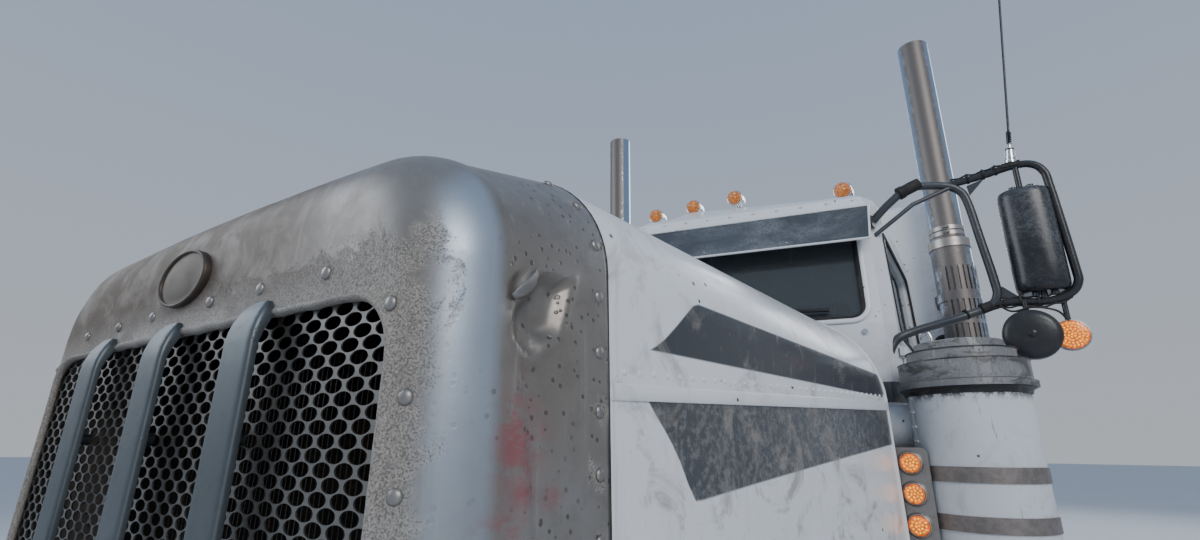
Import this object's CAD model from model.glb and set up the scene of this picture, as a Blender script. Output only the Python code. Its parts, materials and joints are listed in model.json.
# %% [markdown]
# # A long-nose road tractor
# The truck is already there as solids from CAD, each in its place. This lesson gives it its looks:
# first the camera and the light, then the finishes, then the pieces that CAD leaves out, such as
# rivets, perforations, tread, gaskets and cables. Loading comes first, because every piece rides on
# one of the truck's bodies.

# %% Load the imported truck
import json
import math
import bpy
import bmesh
import numpy as np
from mathutils import Matrix, Vector, noise

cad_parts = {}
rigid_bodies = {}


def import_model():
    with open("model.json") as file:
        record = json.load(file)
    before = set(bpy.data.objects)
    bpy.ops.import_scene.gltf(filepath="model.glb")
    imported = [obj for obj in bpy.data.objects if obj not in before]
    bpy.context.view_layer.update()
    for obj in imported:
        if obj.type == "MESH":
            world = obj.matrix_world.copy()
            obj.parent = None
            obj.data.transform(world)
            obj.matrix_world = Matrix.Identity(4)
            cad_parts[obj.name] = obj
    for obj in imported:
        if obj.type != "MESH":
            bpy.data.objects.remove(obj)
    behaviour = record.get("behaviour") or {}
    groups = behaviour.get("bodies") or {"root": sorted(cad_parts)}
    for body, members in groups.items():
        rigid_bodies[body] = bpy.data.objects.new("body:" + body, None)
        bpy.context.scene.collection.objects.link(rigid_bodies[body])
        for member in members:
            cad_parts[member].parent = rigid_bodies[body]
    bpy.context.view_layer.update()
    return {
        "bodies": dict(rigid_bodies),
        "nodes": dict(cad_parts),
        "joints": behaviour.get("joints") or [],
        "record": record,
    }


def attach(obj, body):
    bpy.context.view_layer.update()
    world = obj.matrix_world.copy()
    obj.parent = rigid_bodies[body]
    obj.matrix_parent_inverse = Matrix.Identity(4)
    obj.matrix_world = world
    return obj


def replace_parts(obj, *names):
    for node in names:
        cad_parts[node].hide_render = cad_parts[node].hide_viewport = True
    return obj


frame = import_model()
nodes = frame["nodes"]
FACE = -3.93          # the grille's face along the truck; places behind it are measured from here
ROLL = 0.115          # the radius of the surround's rolled front edge
STEER_AXLE, FORWARD_AXLE, REAR_AXLE = -3.43, 2.2595, 3.5805          # the three axles along the truck

# %% [markdown]
# ## The camera
# The photograph was taken from beside the nose, about eye height, with a wide lens tilted up. A camera
# can be aimed by turning it until it looks right, or its directions can be written down from angles that
# were solved on known points. The angles are used here, because the whole comparison hangs on them.

# %% Aim the camera
yaw, pitch, roll = (math.radians(a) for a in (33.496, 17.392, 0.454))
look = Vector((-math.sin(yaw) * math.cos(pitch), math.cos(yaw) * math.cos(pitch), math.sin(pitch)))
level = Vector((math.cos(yaw), math.sin(yaw), 0))
upright = level.cross(look)
across = level * math.cos(roll) + upright * math.sin(roll)
over = upright * math.cos(roll) - level * math.sin(roll)
camera = bpy.data.objects.new("camera", bpy.data.cameras.new("camera"))
camera.data.sensor_fit = "HORIZONTAL"
camera.data.sensor_width = 36.0
camera.data.lens = 16.993
camera.data.clip_end = 300.0
placed = Matrix((across, over, -look)).transposed().to_4x4()
placed.translation = (1.163, -4.338, 1.493)
camera.matrix_world = placed
bpy.context.scene.collection.objects.link(camera)
bpy.context.scene.camera = camera
print("lens", camera.data.lens, "mm, looking", [round(v, 3) for v in look])

# %% [markdown]
# ## Mixing finishes
# A painted or metal surface is never one colour: it has clouds of tone, dirt that runs down, chips and
# a slightly uneven gloss. Such a finish can be painted by hand or mixed from procedural noise. Noise is
# used, because it needs no image and follows the object's own coordinates. The small class below keeps
# the mixing short: each method adds one node and hands back its output.

# %% A helper for procedural finishes
class Finish:
    """A material being mixed; every method adds a node and gives back its output."""

    def __init__(self, name, **fixed):
        self.material = bpy.data.materials.new(name)
        self.material.use_nodes = True
        self.tree = self.material.node_tree
        self.shader = self.tree.nodes["Principled BSDF"]
        self.place = self.tree.nodes.new("ShaderNodeTexCoord").outputs["Object"]
        for socket, value in fixed.items():
            self.put(socket.replace("_", " "), value)

    def put(self, socket, value):
        self.feed(self.shader.inputs[socket], value)

    def feed(self, target, value):
        if isinstance(value, bpy.types.NodeSocket):
            self.tree.links.new(value, target)
        elif isinstance(value, tuple) and target.type == "RGBA":
            target.default_value = (*value, 1.0)
        else:
            target.default_value = value

    def node(self, kind, inputs, out=0, **settings):
        """Adds one node with its settings and inputs and gives back one output, or all for None."""
        made = self.tree.nodes.new("ShaderNode" + kind)
        for setting, value in settings.items():
            setattr(made, setting, value)
        for socket, value in inputs.items():
            self.feed(made.inputs[socket], value)
        return made.outputs if out is None else made.outputs[out]

    def where(self, stretch):
        return self.node("Mapping", {"Vector": self.place, "Scale": stretch}) if stretch else self.place

    def cloud(self, scale, detail=4.0, rough=0.55, stretch=None, twist=0.0):
        return self.node("TexNoise", {"Vector": self.where(stretch), "Scale": scale, "Detail": detail,
                                      "Roughness": rough, "Distortion": twist}, "Fac")

    def specks(self, scale):
        return self.node("TexVoronoi", {"Vector": self.place, "Scale": scale}, "Distance")

    def band(self, value, low, high):
        return self.node("MapRange", {0: value, 1: low, 2: high, 3: 0.0, 4: 1.0}, interpolation_type="SMOOTHSTEP")

    def math(self, operation, a, b=0.0, c=0.0):
        return self.node("Math", {0: a, 1: b, 2: c}, operation=operation)

    def times(self, *values):
        result = values[0]
        for value in values[1:]:
            result = self.math("MULTIPLY", result, value)
        return result

    def most(self, *values):
        result = values[0]
        for value in values[1:]:
            result = self.math("MAXIMUM", result, value)
        return result

    def mix(self, share, a, b):
        return self.node("Mix", {0: share, 6: a, 7: b}, 2, data_type="RGBA")

    def number(self, value, low, high):
        return self.node("MapRange", {0: value, 1: 0.0, 2: 1.0, 3: low, 4: high})

    def axes(self):
        return self.node("SeparateXYZ", {0: self.place}, None)

    def facing(self):
        return self.node("SeparateXYZ", {0: self.node("NewGeometry", {}, "Normal")}, None)

    def stored(self, name):
        return self.node("Attribute", {}, "Fac", attribute_name=name)

    def lumps(self, height, depth, strength=1.0):
        bump = {"Strength": strength, "Distance": depth, "Height": height}
        if self.shader.inputs["Normal"].is_linked:
            bump["Normal"] = self.shader.inputs["Normal"].links[0].from_socket
        self.put("Normal", self.node("Bump", bump))


print("finish helper ready")

# %% [markdown]
# ## White paint with two dark stripes
# The truck is white and has worked for years: the paint is dull in clouds, dirt has run down from seams,
# stones have chipped it and grey-brown marbling covers the low parts. Two dark stripes run back from the
# nose. Each stripe has a lower and an upper edge, which are curves of height along the truck, so the
# mask is two comparisons with a curve. The edges on the cab and sleeper simply run on level.

# %% Curves for the stripes' edges
def edge_curve(finish, along, rows, low=1.35, high=1.80):
    """The height of an edge along the truck, from rows of (distance behind the grille's face, height)."""
    start, stop = rows[0][0], rows[-1][0]
    spot = finish.math("DIVIDE", finish.math("SUBTRACT", along, FACE + start), stop - start)
    node = finish.tree.nodes.new("ShaderNodeFloatCurve")
    curve = node.mapping.curves[0]
    while len(curve.points) < len(rows):
        curve.points.new(0.5, 0.5)
    for point, (place, height) in zip(curve.points, rows):
        point.location = ((place - start) / (stop - start), (height - low) / (high - low))
        point.handle_type = "VECTOR"
    node.mapping.extend = "HORIZONTAL"
    node.mapping.update()
    finish.feed(node.inputs["Value"], spot)
    return finish.math("MULTIPLY_ADD", node.outputs[0], high - low, low)


upper_low = ((0.40, 1.6475), (0.444, 1.6475), (1.573, 1.6465), (5.3, 1.6465))
upper_high = ((0.40, 1.640), (0.428, 1.652), (0.46, 1.672), (0.494, 1.699), (0.53, 1.730), (0.561, 1.755),
              (1.0, 1.738), (1.573, 1.717), (5.3, 1.717))
lower_low = ((0.39, 1.60), (0.412, 1.557), (0.443, 1.526), (0.476, 1.487), (0.502, 1.445), (0.511, 1.418),
             (0.522, 1.409), (0.54, 1.409), (0.743, 1.430), (1.03, 1.458), (1.573, 1.509), (5.3, 1.509))
lower_high = ((0.39, 1.585), (0.496, 1.592), (1.573, 1.632), (1.62, 1.612), (5.3, 1.612))


def stripe_mask(finish, low_rows, high_rows, soft=0.0025):
    """One where a stripe covers the side, zero elsewhere."""
    _, y, z = finish.axes()
    above = finish.math("SUBTRACT", z, edge_curve(finish, y, low_rows))
    below = finish.math("SUBTRACT", edge_curve(finish, y, high_rows), z)
    start = finish.math("GREATER_THAN", y, FACE + low_rows[0][0] + 0.012)
    return finish.times(finish.band(above, -soft, soft), finish.band(below, -soft, soft), start)


# %% Worn white paint
def white_paint(name, stripes=True, dirt=1.0, chips=1.0, low=1.0, tint=(0.79, 0.81, 0.83)):
    """White paint with clouds, runs, chips, and grey marbling that gathers below a height."""
    f = Finish(name, Coat_Weight=0.25, Coat_Roughness=0.18, Specular_IOR_Level=0.45)
    _, y, z = f.axes()
    broad = f.cloud(1.3, 3)
    fine = f.cloud(16, 6, 0.6)
    colour = f.mix(f.band(broad, 0.35, 0.7), tint, tuple(0.93 * c for c in tint))
    runs = f.cloud(2.6, 7, 0.68, stretch=(9, 9, 0.7), twist=0.3)
    marble = f.cloud(5.2, 9, 0.72, twist=1.6)
    height = f.band(z, low + 1.1, low - 0.25)
    soil = f.times(f.band(marble, 0.50, 0.66), f.number(height, 0.10, 0.75), dirt)
    streaks = f.times(f.band(runs, 0.56, 0.76), f.number(height, 0.25, 0.6), dirt)
    if stripes:
        upper = stripe_mask(f, upper_low, upper_high)
        lower = stripe_mask(f, lower_low, lower_high)
        charcoal = f.mix(f.band(y, FACE + 0.5, FACE + 2.0), (0.030, 0.036, 0.045), (0.060, 0.066, 0.078))
        speckle = f.mix(f.band(f.cloud(60, 5, 0.75), 0.45, 0.62), (0.050, 0.055, 0.062), (0.14, 0.145, 0.15))
        colour = f.mix(upper, colour, charcoal)
        colour = f.mix(lower, colour, speckle)
    colour = f.mix(soil, colour, (0.30, 0.275, 0.245))
    colour = f.mix(streaks, colour, (0.42, 0.39, 0.35))
    dots = f.specks(24)
    some = f.band(f.cloud(5.0, 2), 0.52, 0.60)
    chip = f.times(f.band(dots, 0.13, 0.09), some, chips)
    rust = f.times(f.band(dots, 0.26, 0.10), some, f.band(f.cloud(3.1, 2), 0.60, 0.66), chips)
    colour = f.mix(f.times(rust, 0.55), colour, (0.30, 0.15, 0.08))
    colour = f.mix(chip, colour, (0.055, 0.045, 0.04))
    scratch = f.times(f.band(f.cloud(9, 3, 0.5, stretch=(2, 1.0, 34)), 0.675, 0.70), f.band(broad, 0.48, 0.62))
    colour = f.mix(f.times(scratch, 0.5), colour, (0.34, 0.34, 0.34))
    facing = f.facing()[2]
    dust = f.times(f.band(facing, 0.55, 0.95), f.band(fine, 0.35, 0.75), 0.45, dirt)
    colour = f.mix(dust, colour, (0.46, 0.44, 0.40))
    f.put("Base Color", colour)
    f.put("Roughness", f.number(f.most(soil, streaks, f.band(broad, 0.3, 0.8)), 0.22, 0.58))
    f.lumps(f.cloud(220, 2), 0.00035, 0.25)
    f.lumps(f.math("SUBTRACT", fine, chip), 0.0012, 0.35)
    return f.material


hood_white = white_paint("hood_white", low=1.18, dirt=1.35)
cab_white = white_paint("cab_white", low=0.95)
plain_white = white_paint("plain_white", stripes=False, dirt=0.7, low=0.9)
print("white paints ready")

# %% [markdown]
# ## Metals
# Four metals show. The grille surround is bare aluminium gone grey, with dark pits round every rivet and
# streaks below them. The wheels and tanks are brighter aluminium. The stacks and bumper are chrome with a
# brown haze. The chassis is painted steel under road dirt. All start from the same recipe, a metallic
# base broken by noise, and differ in tone, in how much the gloss wanders and in what lies on top.

# %% Bare aluminium, chrome and painted steel
def aluminium(name, tone=(0.60, 0.62, 0.64), gloss=(0.22, 0.5), pits=0.5, brushed=None, stains=0.4):
    f = Finish(name, Metallic=0.92)
    broad = f.cloud(2.2, 4)
    mottle = f.cloud(22, 7, 0.66)
    colour = f.mix(f.band(broad, 0.3, 0.72), tone, tuple(0.80 * c for c in tone))
    colour = f.mix(f.times(f.band(mottle, 0.5, 0.7), 0.35), colour, tuple(0.55 * c for c in tone))
    pit = f.times(f.band(f.specks(110), 0.24, 0.10), f.band(f.cloud(14, 4), 0.52, 0.62), pits)
    colour = f.mix(pit, colour, (0.06, 0.055, 0.05))
    runs = f.times(f.band(f.cloud(3, 6, 0.65, stretch=(8, 8, 0.8)), 0.55, 0.75), stains)
    colour = f.mix(runs, colour, (0.20, 0.185, 0.165))
    f.put("Base Color", colour)
    f.put("Roughness", f.number(f.most(f.times(mottle, 0.8), runs, pit), *gloss))
    if brushed:
        f.lumps(f.cloud(30, 3, stretch=brushed), 0.0004, 0.3)
    f.lumps(f.math("SUBTRACT", mottle, pit), 0.0012, 0.3)
    return f.material


def chrome(name, tone=(0.74, 0.75, 0.76), haze=(0.30, 0.27, 0.24), share=0.35):
    f = Finish(name, Metallic=1.0)
    grime = f.cloud(4.5, 8, 0.7, stretch=(1, 1, 0.45), twist=0.6)
    spots = f.times(f.band(f.specks(70), 0.22, 0.08), f.band(f.cloud(9, 3), 0.55, 0.62))
    film = f.times(f.band(grime, 0.42, 0.72), share)
    colour = f.mix(film, tone, haze)
    colour = f.mix(f.times(spots, 0.6), colour, (0.16, 0.10, 0.07))
    f.put("Base Color", colour)
    f.put("Roughness", f.number(f.most(film, spots), 0.06, 0.42))
    f.lumps(f.cloud(3.0, 2), 0.002, 0.25)
    return f.material


def painted_steel(name, tone=(0.028, 0.029, 0.031), dirt=(0.17, 0.145, 0.115), share=0.6, rust=0.35,
                  gloss=(0.42, 0.85)):
    f = Finish(name)
    clods = f.cloud(6, 8, 0.7, twist=0.8)
    grit = f.cloud(70, 4, 0.7)
    top = f.band(f.facing()[2], 0.2, 0.9)
    film = f.times(f.most(f.band(clods, 0.45, 0.68), f.times(top, 0.9)), f.number(grit, 0.5, 1.2), share)
    scale = f.times(f.band(f.cloud(11, 6, 0.7), 0.58, 0.66), rust)
    colour = f.mix(f.band(f.cloud(3, 2), 0.3, 0.7), tone, tuple(min(1.0, 1.7 * c) for c in tone))
    colour = f.mix(scale, colour, (0.17, 0.075, 0.035))
    colour = f.mix(film, colour, dirt)
    f.put("Base Color", colour)
    f.put("Roughness", f.number(f.most(film, scale), *gloss))
    f.lumps(grit, 0.0012, 0.5)
    f.lumps(f.cloud(24, 5), 0.002, 0.35)
    return f.material


bright_alloy = aluminium("bright_alloy", tone=(0.70, 0.71, 0.72), gloss=(0.16, 0.46), pits=0.25, stains=0.5)
bar_alloy = aluminium("bar_alloy", tone=(0.36, 0.40, 0.46), gloss=(0.26, 0.48), pits=0.7, brushed=(1, 1, 0.05),
                      stains=0.25)
band_metal = aluminium("band_metal", tone=(0.42, 0.39, 0.37), gloss=(0.28, 0.55), pits=0.5, stains=0.5)
screen_metal = aluminium("screen_metal", tone=(0.215, 0.21, 0.20), gloss=(0.35, 0.6), pits=0.2)
bumper_chrome = chrome("bumper_chrome")
lamp_chrome = chrome("lamp_chrome", share=0.2)
frame_paint = painted_steel("frame_paint")
cast_metal = painted_steel("cast_metal", tone=(0.06, 0.055, 0.05), rust=0.75, share=0.5)
grease_black = painted_steel("grease_black", tone=(0.012, 0.011, 0.010), dirt=(0.05, 0.04, 0.03), rust=0.15,
                             gloss=(0.16, 0.5))
engine_coat = painted_steel("engine_coat", tone=(0.10, 0.085, 0.05), rust=0.3, share=0.65)
mirror_black = painted_steel("mirror_black", tone=(0.014, 0.015, 0.017), dirt=(0.11, 0.11, 0.11), share=0.22,
                             rust=0.0, gloss=(0.30, 0.6))
tube_black = painted_steel("tube_black", tone=(0.030, 0.034, 0.040), dirt=(0.12, 0.12, 0.12), share=0.25, rust=0.04,
                           gloss=(0.32, 0.6))
print("metals ready")

# %% [markdown]
# ## Rubber, plastic, leather, glass and lamps
# Tyres are grey-brown with dust rather than black. Glass is dark, because the cab behind it is dark, and
# carries a film of dust. The amber lamps are lit, as in the photograph, so their lenses give off light.

# %% Soft materials, glass and lamps
def rubber(name, tone=(0.028, 0.027, 0.026), dust=0.5):
    f = Finish(name, Specular_IOR_Level=0.35)
    dirt = f.times(f.band(f.cloud(9, 7, 0.7), 0.42, 0.7), dust)
    f.put("Base Color", f.mix(dirt, tone, (0.15, 0.135, 0.115)))
    f.put("Roughness", f.number(f.cloud(30, 5), 0.55, 0.9))
    f.lumps(f.cloud(160, 4), 0.0006, 0.5)
    return f.material


def moulded(name, tone, gloss=(0.4, 0.7), grain=420):
    f = Finish(name)
    wear = f.cloud(5, 6, 0.65)
    f.put("Base Color", f.mix(f.band(wear, 0.35, 0.75), tone, tuple(min(1.0, 1.5 * c + 0.012) for c in tone)))
    f.put("Roughness", f.number(wear, *gloss))
    f.lumps(f.specks(grain), 0.0005, 0.4)
    return f.material


def glass(name, tone, film=0.12):
    f = Finish(name, Transmission_Weight=0.86, IOR=1.45)
    haze = f.times(f.band(f.cloud(7, 8, 0.7), 0.45, 0.75), film)
    f.put("Base Color", f.mix(haze, tone, (0.55, 0.55, 0.52)))
    f.put("Roughness", f.number(haze, 0.02, 0.5))
    return f.material


def lit_lens(name, tone, glow, scale=120):
    f = Finish(name, Transmission_Weight=0.0, Coat_Weight=1.0, Coat_Roughness=0.05)
    cells = f.specks(scale)
    f.put("Base Color", f.mix(f.band(cells, 0.2, 0.6), tone, tuple(0.5 * c for c in tone)))
    f.put("Roughness", f.number(cells, 0.12, 0.4))
    f.put("Emission Color", f.mix(f.band(cells, 0.15, 0.55), tone, tuple(0.35 * c for c in tone)))
    f.put("Emission Strength", glow)
    f.lumps(cells, 0.002, 0.6)
    return f.material


tyre_rubber = rubber("tyre_rubber")
trim_rubber = rubber("trim_rubber", tone=(0.018, 0.018, 0.019), dust=0.3)
cabin_plastic = moulded("cabin_plastic", (0.035, 0.035, 0.038))
dark_glass = glass("dark_glass", (0.30, 0.34, 0.36))
amber_lit = lit_lens("amber_lit", (1.0, 0.20, 0.005), 1.1)
amber_dot = lit_lens("amber_dot", (1.0, 0.46, 0.02), 2.6, scale=300)
amber_dim = lit_lens("amber_dim", (0.80, 0.23, 0.01), 0.35)
red_lens = lit_lens("red_lens", (0.55, 0.015, 0.012), 0.15)
lamp_glass = glass("lamp_glass", (0.92, 0.94, 0.95), film=0.25)
seat_leather = moulded("seat_leather", (0.085, 0.075, 0.068), gloss=(0.38, 0.62), grain=300)
print("soft materials ready")

# %% Give every CAD node its finish
finish_of = {
    "air_cleaners": plain_white, "antenna": mirror_black, "cab_roof": plain_white, "cab_seats": seat_leather,
    "cab_shell": cab_white, "crossmembers": frame_paint, "dashboard": cabin_plastic,
    "door_glass_left": dark_glass, "door_glass_right": dark_glass, "door_left": cab_white, "door_right": cab_white,
    "drive_axles": cast_metal, "drive_shafts": cast_metal, "emblem_plate": lamp_chrome, "engine_block": engine_coat,
    "exhaust_stacks": bumper_chrome, "fender_left": plain_white, "fender_right": plain_white,
    "fifth_wheel_base": cast_metal, "fifth_wheel_plate": grease_black, "frame_rails": frame_paint,
    "front_axle": cast_metal, "front_bumper": bumper_chrome, "front_springs": cast_metal, "fuel_tanks": bright_alloy,
    "grille_bars": bar_alloy, "grille_screen": screen_metal, "grille_surround": bar_alloy, "headlamps": lamp_chrome,
    "hood_panel": hood_white, "knuckle_left": cast_metal, "knuckle_right": cast_metal, "lamp_bars": band_metal,
    "mirrors": tube_black, "mud_flaps": trim_rubber, "radiator": grease_black, "rear_suspension": frame_paint,
    "roof_lights": lamp_chrome, "sleeper_boot": trim_rubber, "sleeper_shell": cab_white,
    "steering_wheel": cabin_plastic, "step_boxes": bright_alloy, "sun_visor": plain_white,
    "windshield": dark_glass,
}
for name in nodes:
    if name.startswith("tyre"):
        finish_of[name] = tyre_rubber
    if name.startswith("wheel"):
        finish_of[name] = bright_alloy


def coat(target, finish):
    """Gives an object one finish in place of what it had."""
    target.data.materials.clear()
    target.data.materials.append(finish)


for name, node in nodes.items():
    coat(node, finish_of[name])
print("finished nodes:", len(finish_of))

# %% [markdown]
# ## Floor and light
# The photograph has low evening light, which is soft and a little cool. A studio can give that with a
# pale room and a few very large lamps. The floor is one wide plain disc, marked as stage so that it
# isn't counted as part of the truck.

# %% Pale floor
floor_mesh = bpy.data.meshes.new("floor")
rings = [Vector((90 * math.cos(a), 90 * math.sin(a), 0)) for a in (math.tau * i / 96 for i in range(96))]
floor_mesh.from_pydata(rings, [], [list(range(96))])
floor = bpy.data.objects.new("floor", floor_mesh)
bpy.context.scene.collection.objects.link(floor)
ground = Finish("studio_floor", Roughness=0.75)
ground.put("Base Color", ground.mix(ground.cloud(0.6, 3), (0.60, 0.61, 0.62), (0.66, 0.67, 0.68)))
floor_mesh.materials.append(ground.material)

# %% Soft lamps and a pale room
world = bpy.data.worlds.new("studio")
bpy.context.scene.world = world
world.use_nodes = True
air = world.node_tree
spread = air.nodes.new("ShaderNodeTexCoord")
apart = air.nodes.new("ShaderNodeSeparateXYZ")
fade = air.nodes.new("ShaderNodeValToRGB")
air.links.new(spread.outputs["Generated"], apart.inputs[0])
air.links.new(apart.outputs[2], fade.inputs[0])
air.links.new(fade.outputs[0], air.nodes["Background"].inputs[0])
fade.color_ramp.elements[0].color = (0.56, 0.59, 0.63, 1)
fade.color_ramp.elements[1].color = (0.34, 0.46, 0.66, 1)
fade.color_ramp.elements[1].position = 0.85
air.nodes["Background"].inputs[1].default_value = 0.85


def soft_lamp(name, spot, aim, width, power, tone):
    lamp = bpy.data.objects.new(name, bpy.data.lights.new(name, "AREA"))
    lamp.data.shape = "DISK"
    lamp.data.size = width
    lamp.data.energy = power
    lamp.data.color = tone
    lamp.location = spot
    lamp.rotation_euler = (Vector(aim) - Vector(spot)).to_track_quat("-Z", "Y").to_euler()
    bpy.context.scene.collection.objects.link(lamp)


soft_lamp("key", (9, -11, 9), (0, -2, 1.5), 7, 900, (1.0, 0.98, 0.95))
soft_lamp("fill", (-10, -8, 7), (0, -1, 1.5), 8, 500, (0.88, 0.94, 1.0))
soft_lamp("back", (3, 13, 9), (0, 2, 1.5), 8, 500, (0.95, 0.97, 1.0))

# %% [markdown]
# ## Building shapes in code
# A piece can be modelled by hand or written down as rows of points. Here almost everything is turned,
# bent from tube, folded from sheet or bolted on, so a few makers' words cover it: turned, tube, slab,
# plate and grid. A Shape gathers them and becomes one piece that rides on one body.

# %% The shape maker
class Shape:
    """Points and faces being gathered for one piece."""

    def __init__(self):
        self.points, self.faces = [], []

    def add(self, points, faces):
        base = len(self.points)
        self.points += [Vector(p) for p in points]
        self.faces += [tuple(base + i for i in face) for face in faces]
        return self

    def grid(self, rows, closed=False):
        wide = len(rows[0])
        reach = wide if closed else wide - 1
        faces = []
        for r in range(len(rows) - 1):
            for c in range(reach):
                d = (c + 1) % wide
                faces.append((r * wide + c, r * wide + d, (r + 1) * wide + d, (r + 1) * wide + c))
        return self.add([p for row in rows for p in row], faces)

    def turned(self, rows, centre, axis, sides=32):
        """A turned part from rows of (distance along the axis, radius); ends with a radius are closed."""
        axis = Vector(axis).normalized()
        one = axis.orthogonal().normalized()
        two = axis.cross(one)
        angles = [math.tau * i / sides for i in range(sides)]
        rings = [[Vector(centre) + axis * far + (one * math.cos(a) + two * math.sin(a)) * wide for a in angles]
                 for far, wide in rows]
        self.grid(rings, closed=True)
        for ring in (rings[0], rings[-1][::-1]):
            self.add(ring, [tuple(range(sides))[::-1]])
        return self

    def tube(self, path, radius, sides=10):
        """A round tube through points, which may carry their own radius as a fourth number."""
        path = [tuple(p) for p in path]
        spots = [Vector(p[:3]) for p in path]
        rings = []
        one = None
        for i, spot in enumerate(spots):
            ahead = (spots[min(i + 1, len(spots) - 1)] - spots[max(i - 1, 0)]).normalized()
            one = ahead.orthogonal().normalized() if one is None else (one - ahead * one.dot(ahead)).normalized()
            two = ahead.cross(one)
            wide = path[i][3] if len(path[i]) > 3 else radius
            rings.append([spot + (one * math.cos(a) + two * math.sin(a)) * wide
                          for a in (math.tau * k / sides for k in range(sides))])
        self.grid(rings, closed=True)
        self.add(rings[0], [tuple(range(sides))[::-1]])
        return self.add(rings[-1], [tuple(range(sides))])

    def slab(self, low, high, turn=0.0, about="Z"):
        spun = Matrix.Rotation(math.radians(turn), 3, about)
        middle = (Vector(low) + Vector(high)) / 2
        corners = [Vector((x, y, z)) for x in (low[0], high[0]) for y in (low[1], high[1]) for z in (low[2], high[2])]
        corners = [spun @ (c - middle) + middle for c in corners]
        return self.add(corners, [(0, 1, 3, 2), (4, 6, 7, 5), (0, 4, 5, 1), (2, 3, 7, 6), (0, 2, 6, 4), (1, 5, 7, 3)])

    def plate(self, outline, push):
        """A flat outline of 3-D points made thick along push."""
        top = [Vector(p) + Vector(push) for p in outline]
        count = len(outline)
        sides = [(i, (i + 1) % count, count + (i + 1) % count, count + i) for i in range(count)]
        return self.add([Vector(p) for p in outline] + top,
                        sides + [tuple(range(count))[::-1], tuple(range(count, 2 * count))])

    def mirrored(self):
        """The same shape on the other side of the truck as well."""
        count = len(self.points)
        self.points += [Vector((-p.x, p.y, p.z)) for p in self.points]
        self.faces += [tuple(count + i for i in reversed(face)) for face in self.faces]
        return self


def piece(name, shape, body, finish, slot, bevel=0.0, thick=0.0, smooth=32, tidy=True, merge=1e-5):
    """Makes a shape an object that rides on a body and takes its finish from a slot."""
    mesh = bpy.data.meshes.new(name)
    mesh.from_pydata(shape.points, [], shape.faces)
    work = bmesh.new()
    work.from_mesh(mesh)
    bmesh.ops.remove_doubles(work, verts=work.verts, dist=merge)
    if tidy:
        bmesh.ops.recalc_face_normals(work, faces=work.faces)
    work.to_mesh(mesh)
    work.free()
    mesh.materials.append(finish)
    made = bpy.data.objects.new(name, mesh)
    bpy.context.scene.collection.objects.link(made)
    if thick:
        wall = made.modifiers.new("wall", "SOLIDIFY")
        wall.thickness = thick
        wall.offset = -1.0
    if bevel:
        edge = made.modifiers.new("edge", "BEVEL")
        edge.width = bevel
        edge.segments = 2
        edge.limit_method = "ANGLE"
        edge.angle_limit = math.radians(38)
    mesh.shade_smooth()
    mesh.set_sharp_from_angle(angle=math.radians(smooth))
    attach(made, body)
    return made


def curve_points(points, count=24):
    """A smooth run through points, Catmull-Rom, so that a bent tube has no corners."""
    spots = [Vector(p) for p in points]
    spots = [2 * spots[0] - spots[1]] + spots + [2 * spots[-1] - spots[-2]]
    run = []
    for i in range(1, len(spots) - 2):
        a, b, c, d = spots[i - 1:i + 3]
        for k in range(count):
            t = k / count
            run.append(0.5 * ((2 * b) + (c - a) * t + (2 * a - 5 * b + 4 * c - d) * t * t
                              + (3 * b - a - 3 * c + d) * t ** 3))
    return run + [spots[-2]]


print("shape maker ready")

# %% [markdown]
# ## Rows of rivets and bolts
# Hundreds of round rivet heads and hexagon heads hold the truck together. Each could be copied by hand,
# but Geometry Nodes do it from a mesh that is only points: a tree puts one small head on each point and
# turns it along the direction stored there. One tree makes domes and another makes hexagon heads.

# %% Geometry Nodes trees for rivets and bolts
class Tree:
    """A Geometry Nodes tree being wired, with named inputs, a finish, and its instances made real."""

    def __init__(self, name, sizes):
        self.group = bpy.data.node_groups.new(name, "GeometryNodeTree")
        sockets = self.group.interface
        sockets.new_socket(name="Geometry", in_out="INPUT", socket_type="NodeSocketGeometry")
        for size, value in sizes.items():
            kind = "NodeSocketInt" if isinstance(value, int) else "NodeSocketFloat"
            sockets.new_socket(name=size, in_out="INPUT", socket_type=kind).default_value = value
        sockets.new_socket(name="Finish", in_out="INPUT", socket_type="NodeSocketMaterial")
        sockets.new_socket(name="Geometry", in_out="OUTPUT", socket_type="NodeSocketGeometry")
        self.given = self.group.nodes.new("NodeGroupInput").outputs

    def add(self, kind, inputs, out=0, **settings):
        """Adds one node with its settings and inputs, a list being several links, and gives back an output."""
        made = self.group.nodes.new(kind)
        for setting, value in settings.items():
            setattr(made, setting, value)
        for socket, values in inputs.items():
            for value in values if isinstance(values, list) else [values]:
                if isinstance(value, bpy.types.NodeSocket):
                    self.group.links.new(value, made.inputs[socket])
                else:
                    made.inputs[socket].default_value = value
        return made.outputs if out is None else made.outputs[out]

    def maths(self, operation, a, b):
        return self.add("ShaderNodeMath", {0: a, 1: b}, operation=operation)

    def closed(self, geometry):
        """Realizes the instances, sets the finish and links the output."""
        real = self.add("GeometryNodeRealizeInstances", {0: geometry})
        painted = self.add("GeometryNodeSetMaterial", {"Geometry": real, "Material": self.given["Finish"]})
        self.group.links.new(painted, self.group.nodes.new("NodeGroupOutput").inputs[0])
        return self.group


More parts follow.
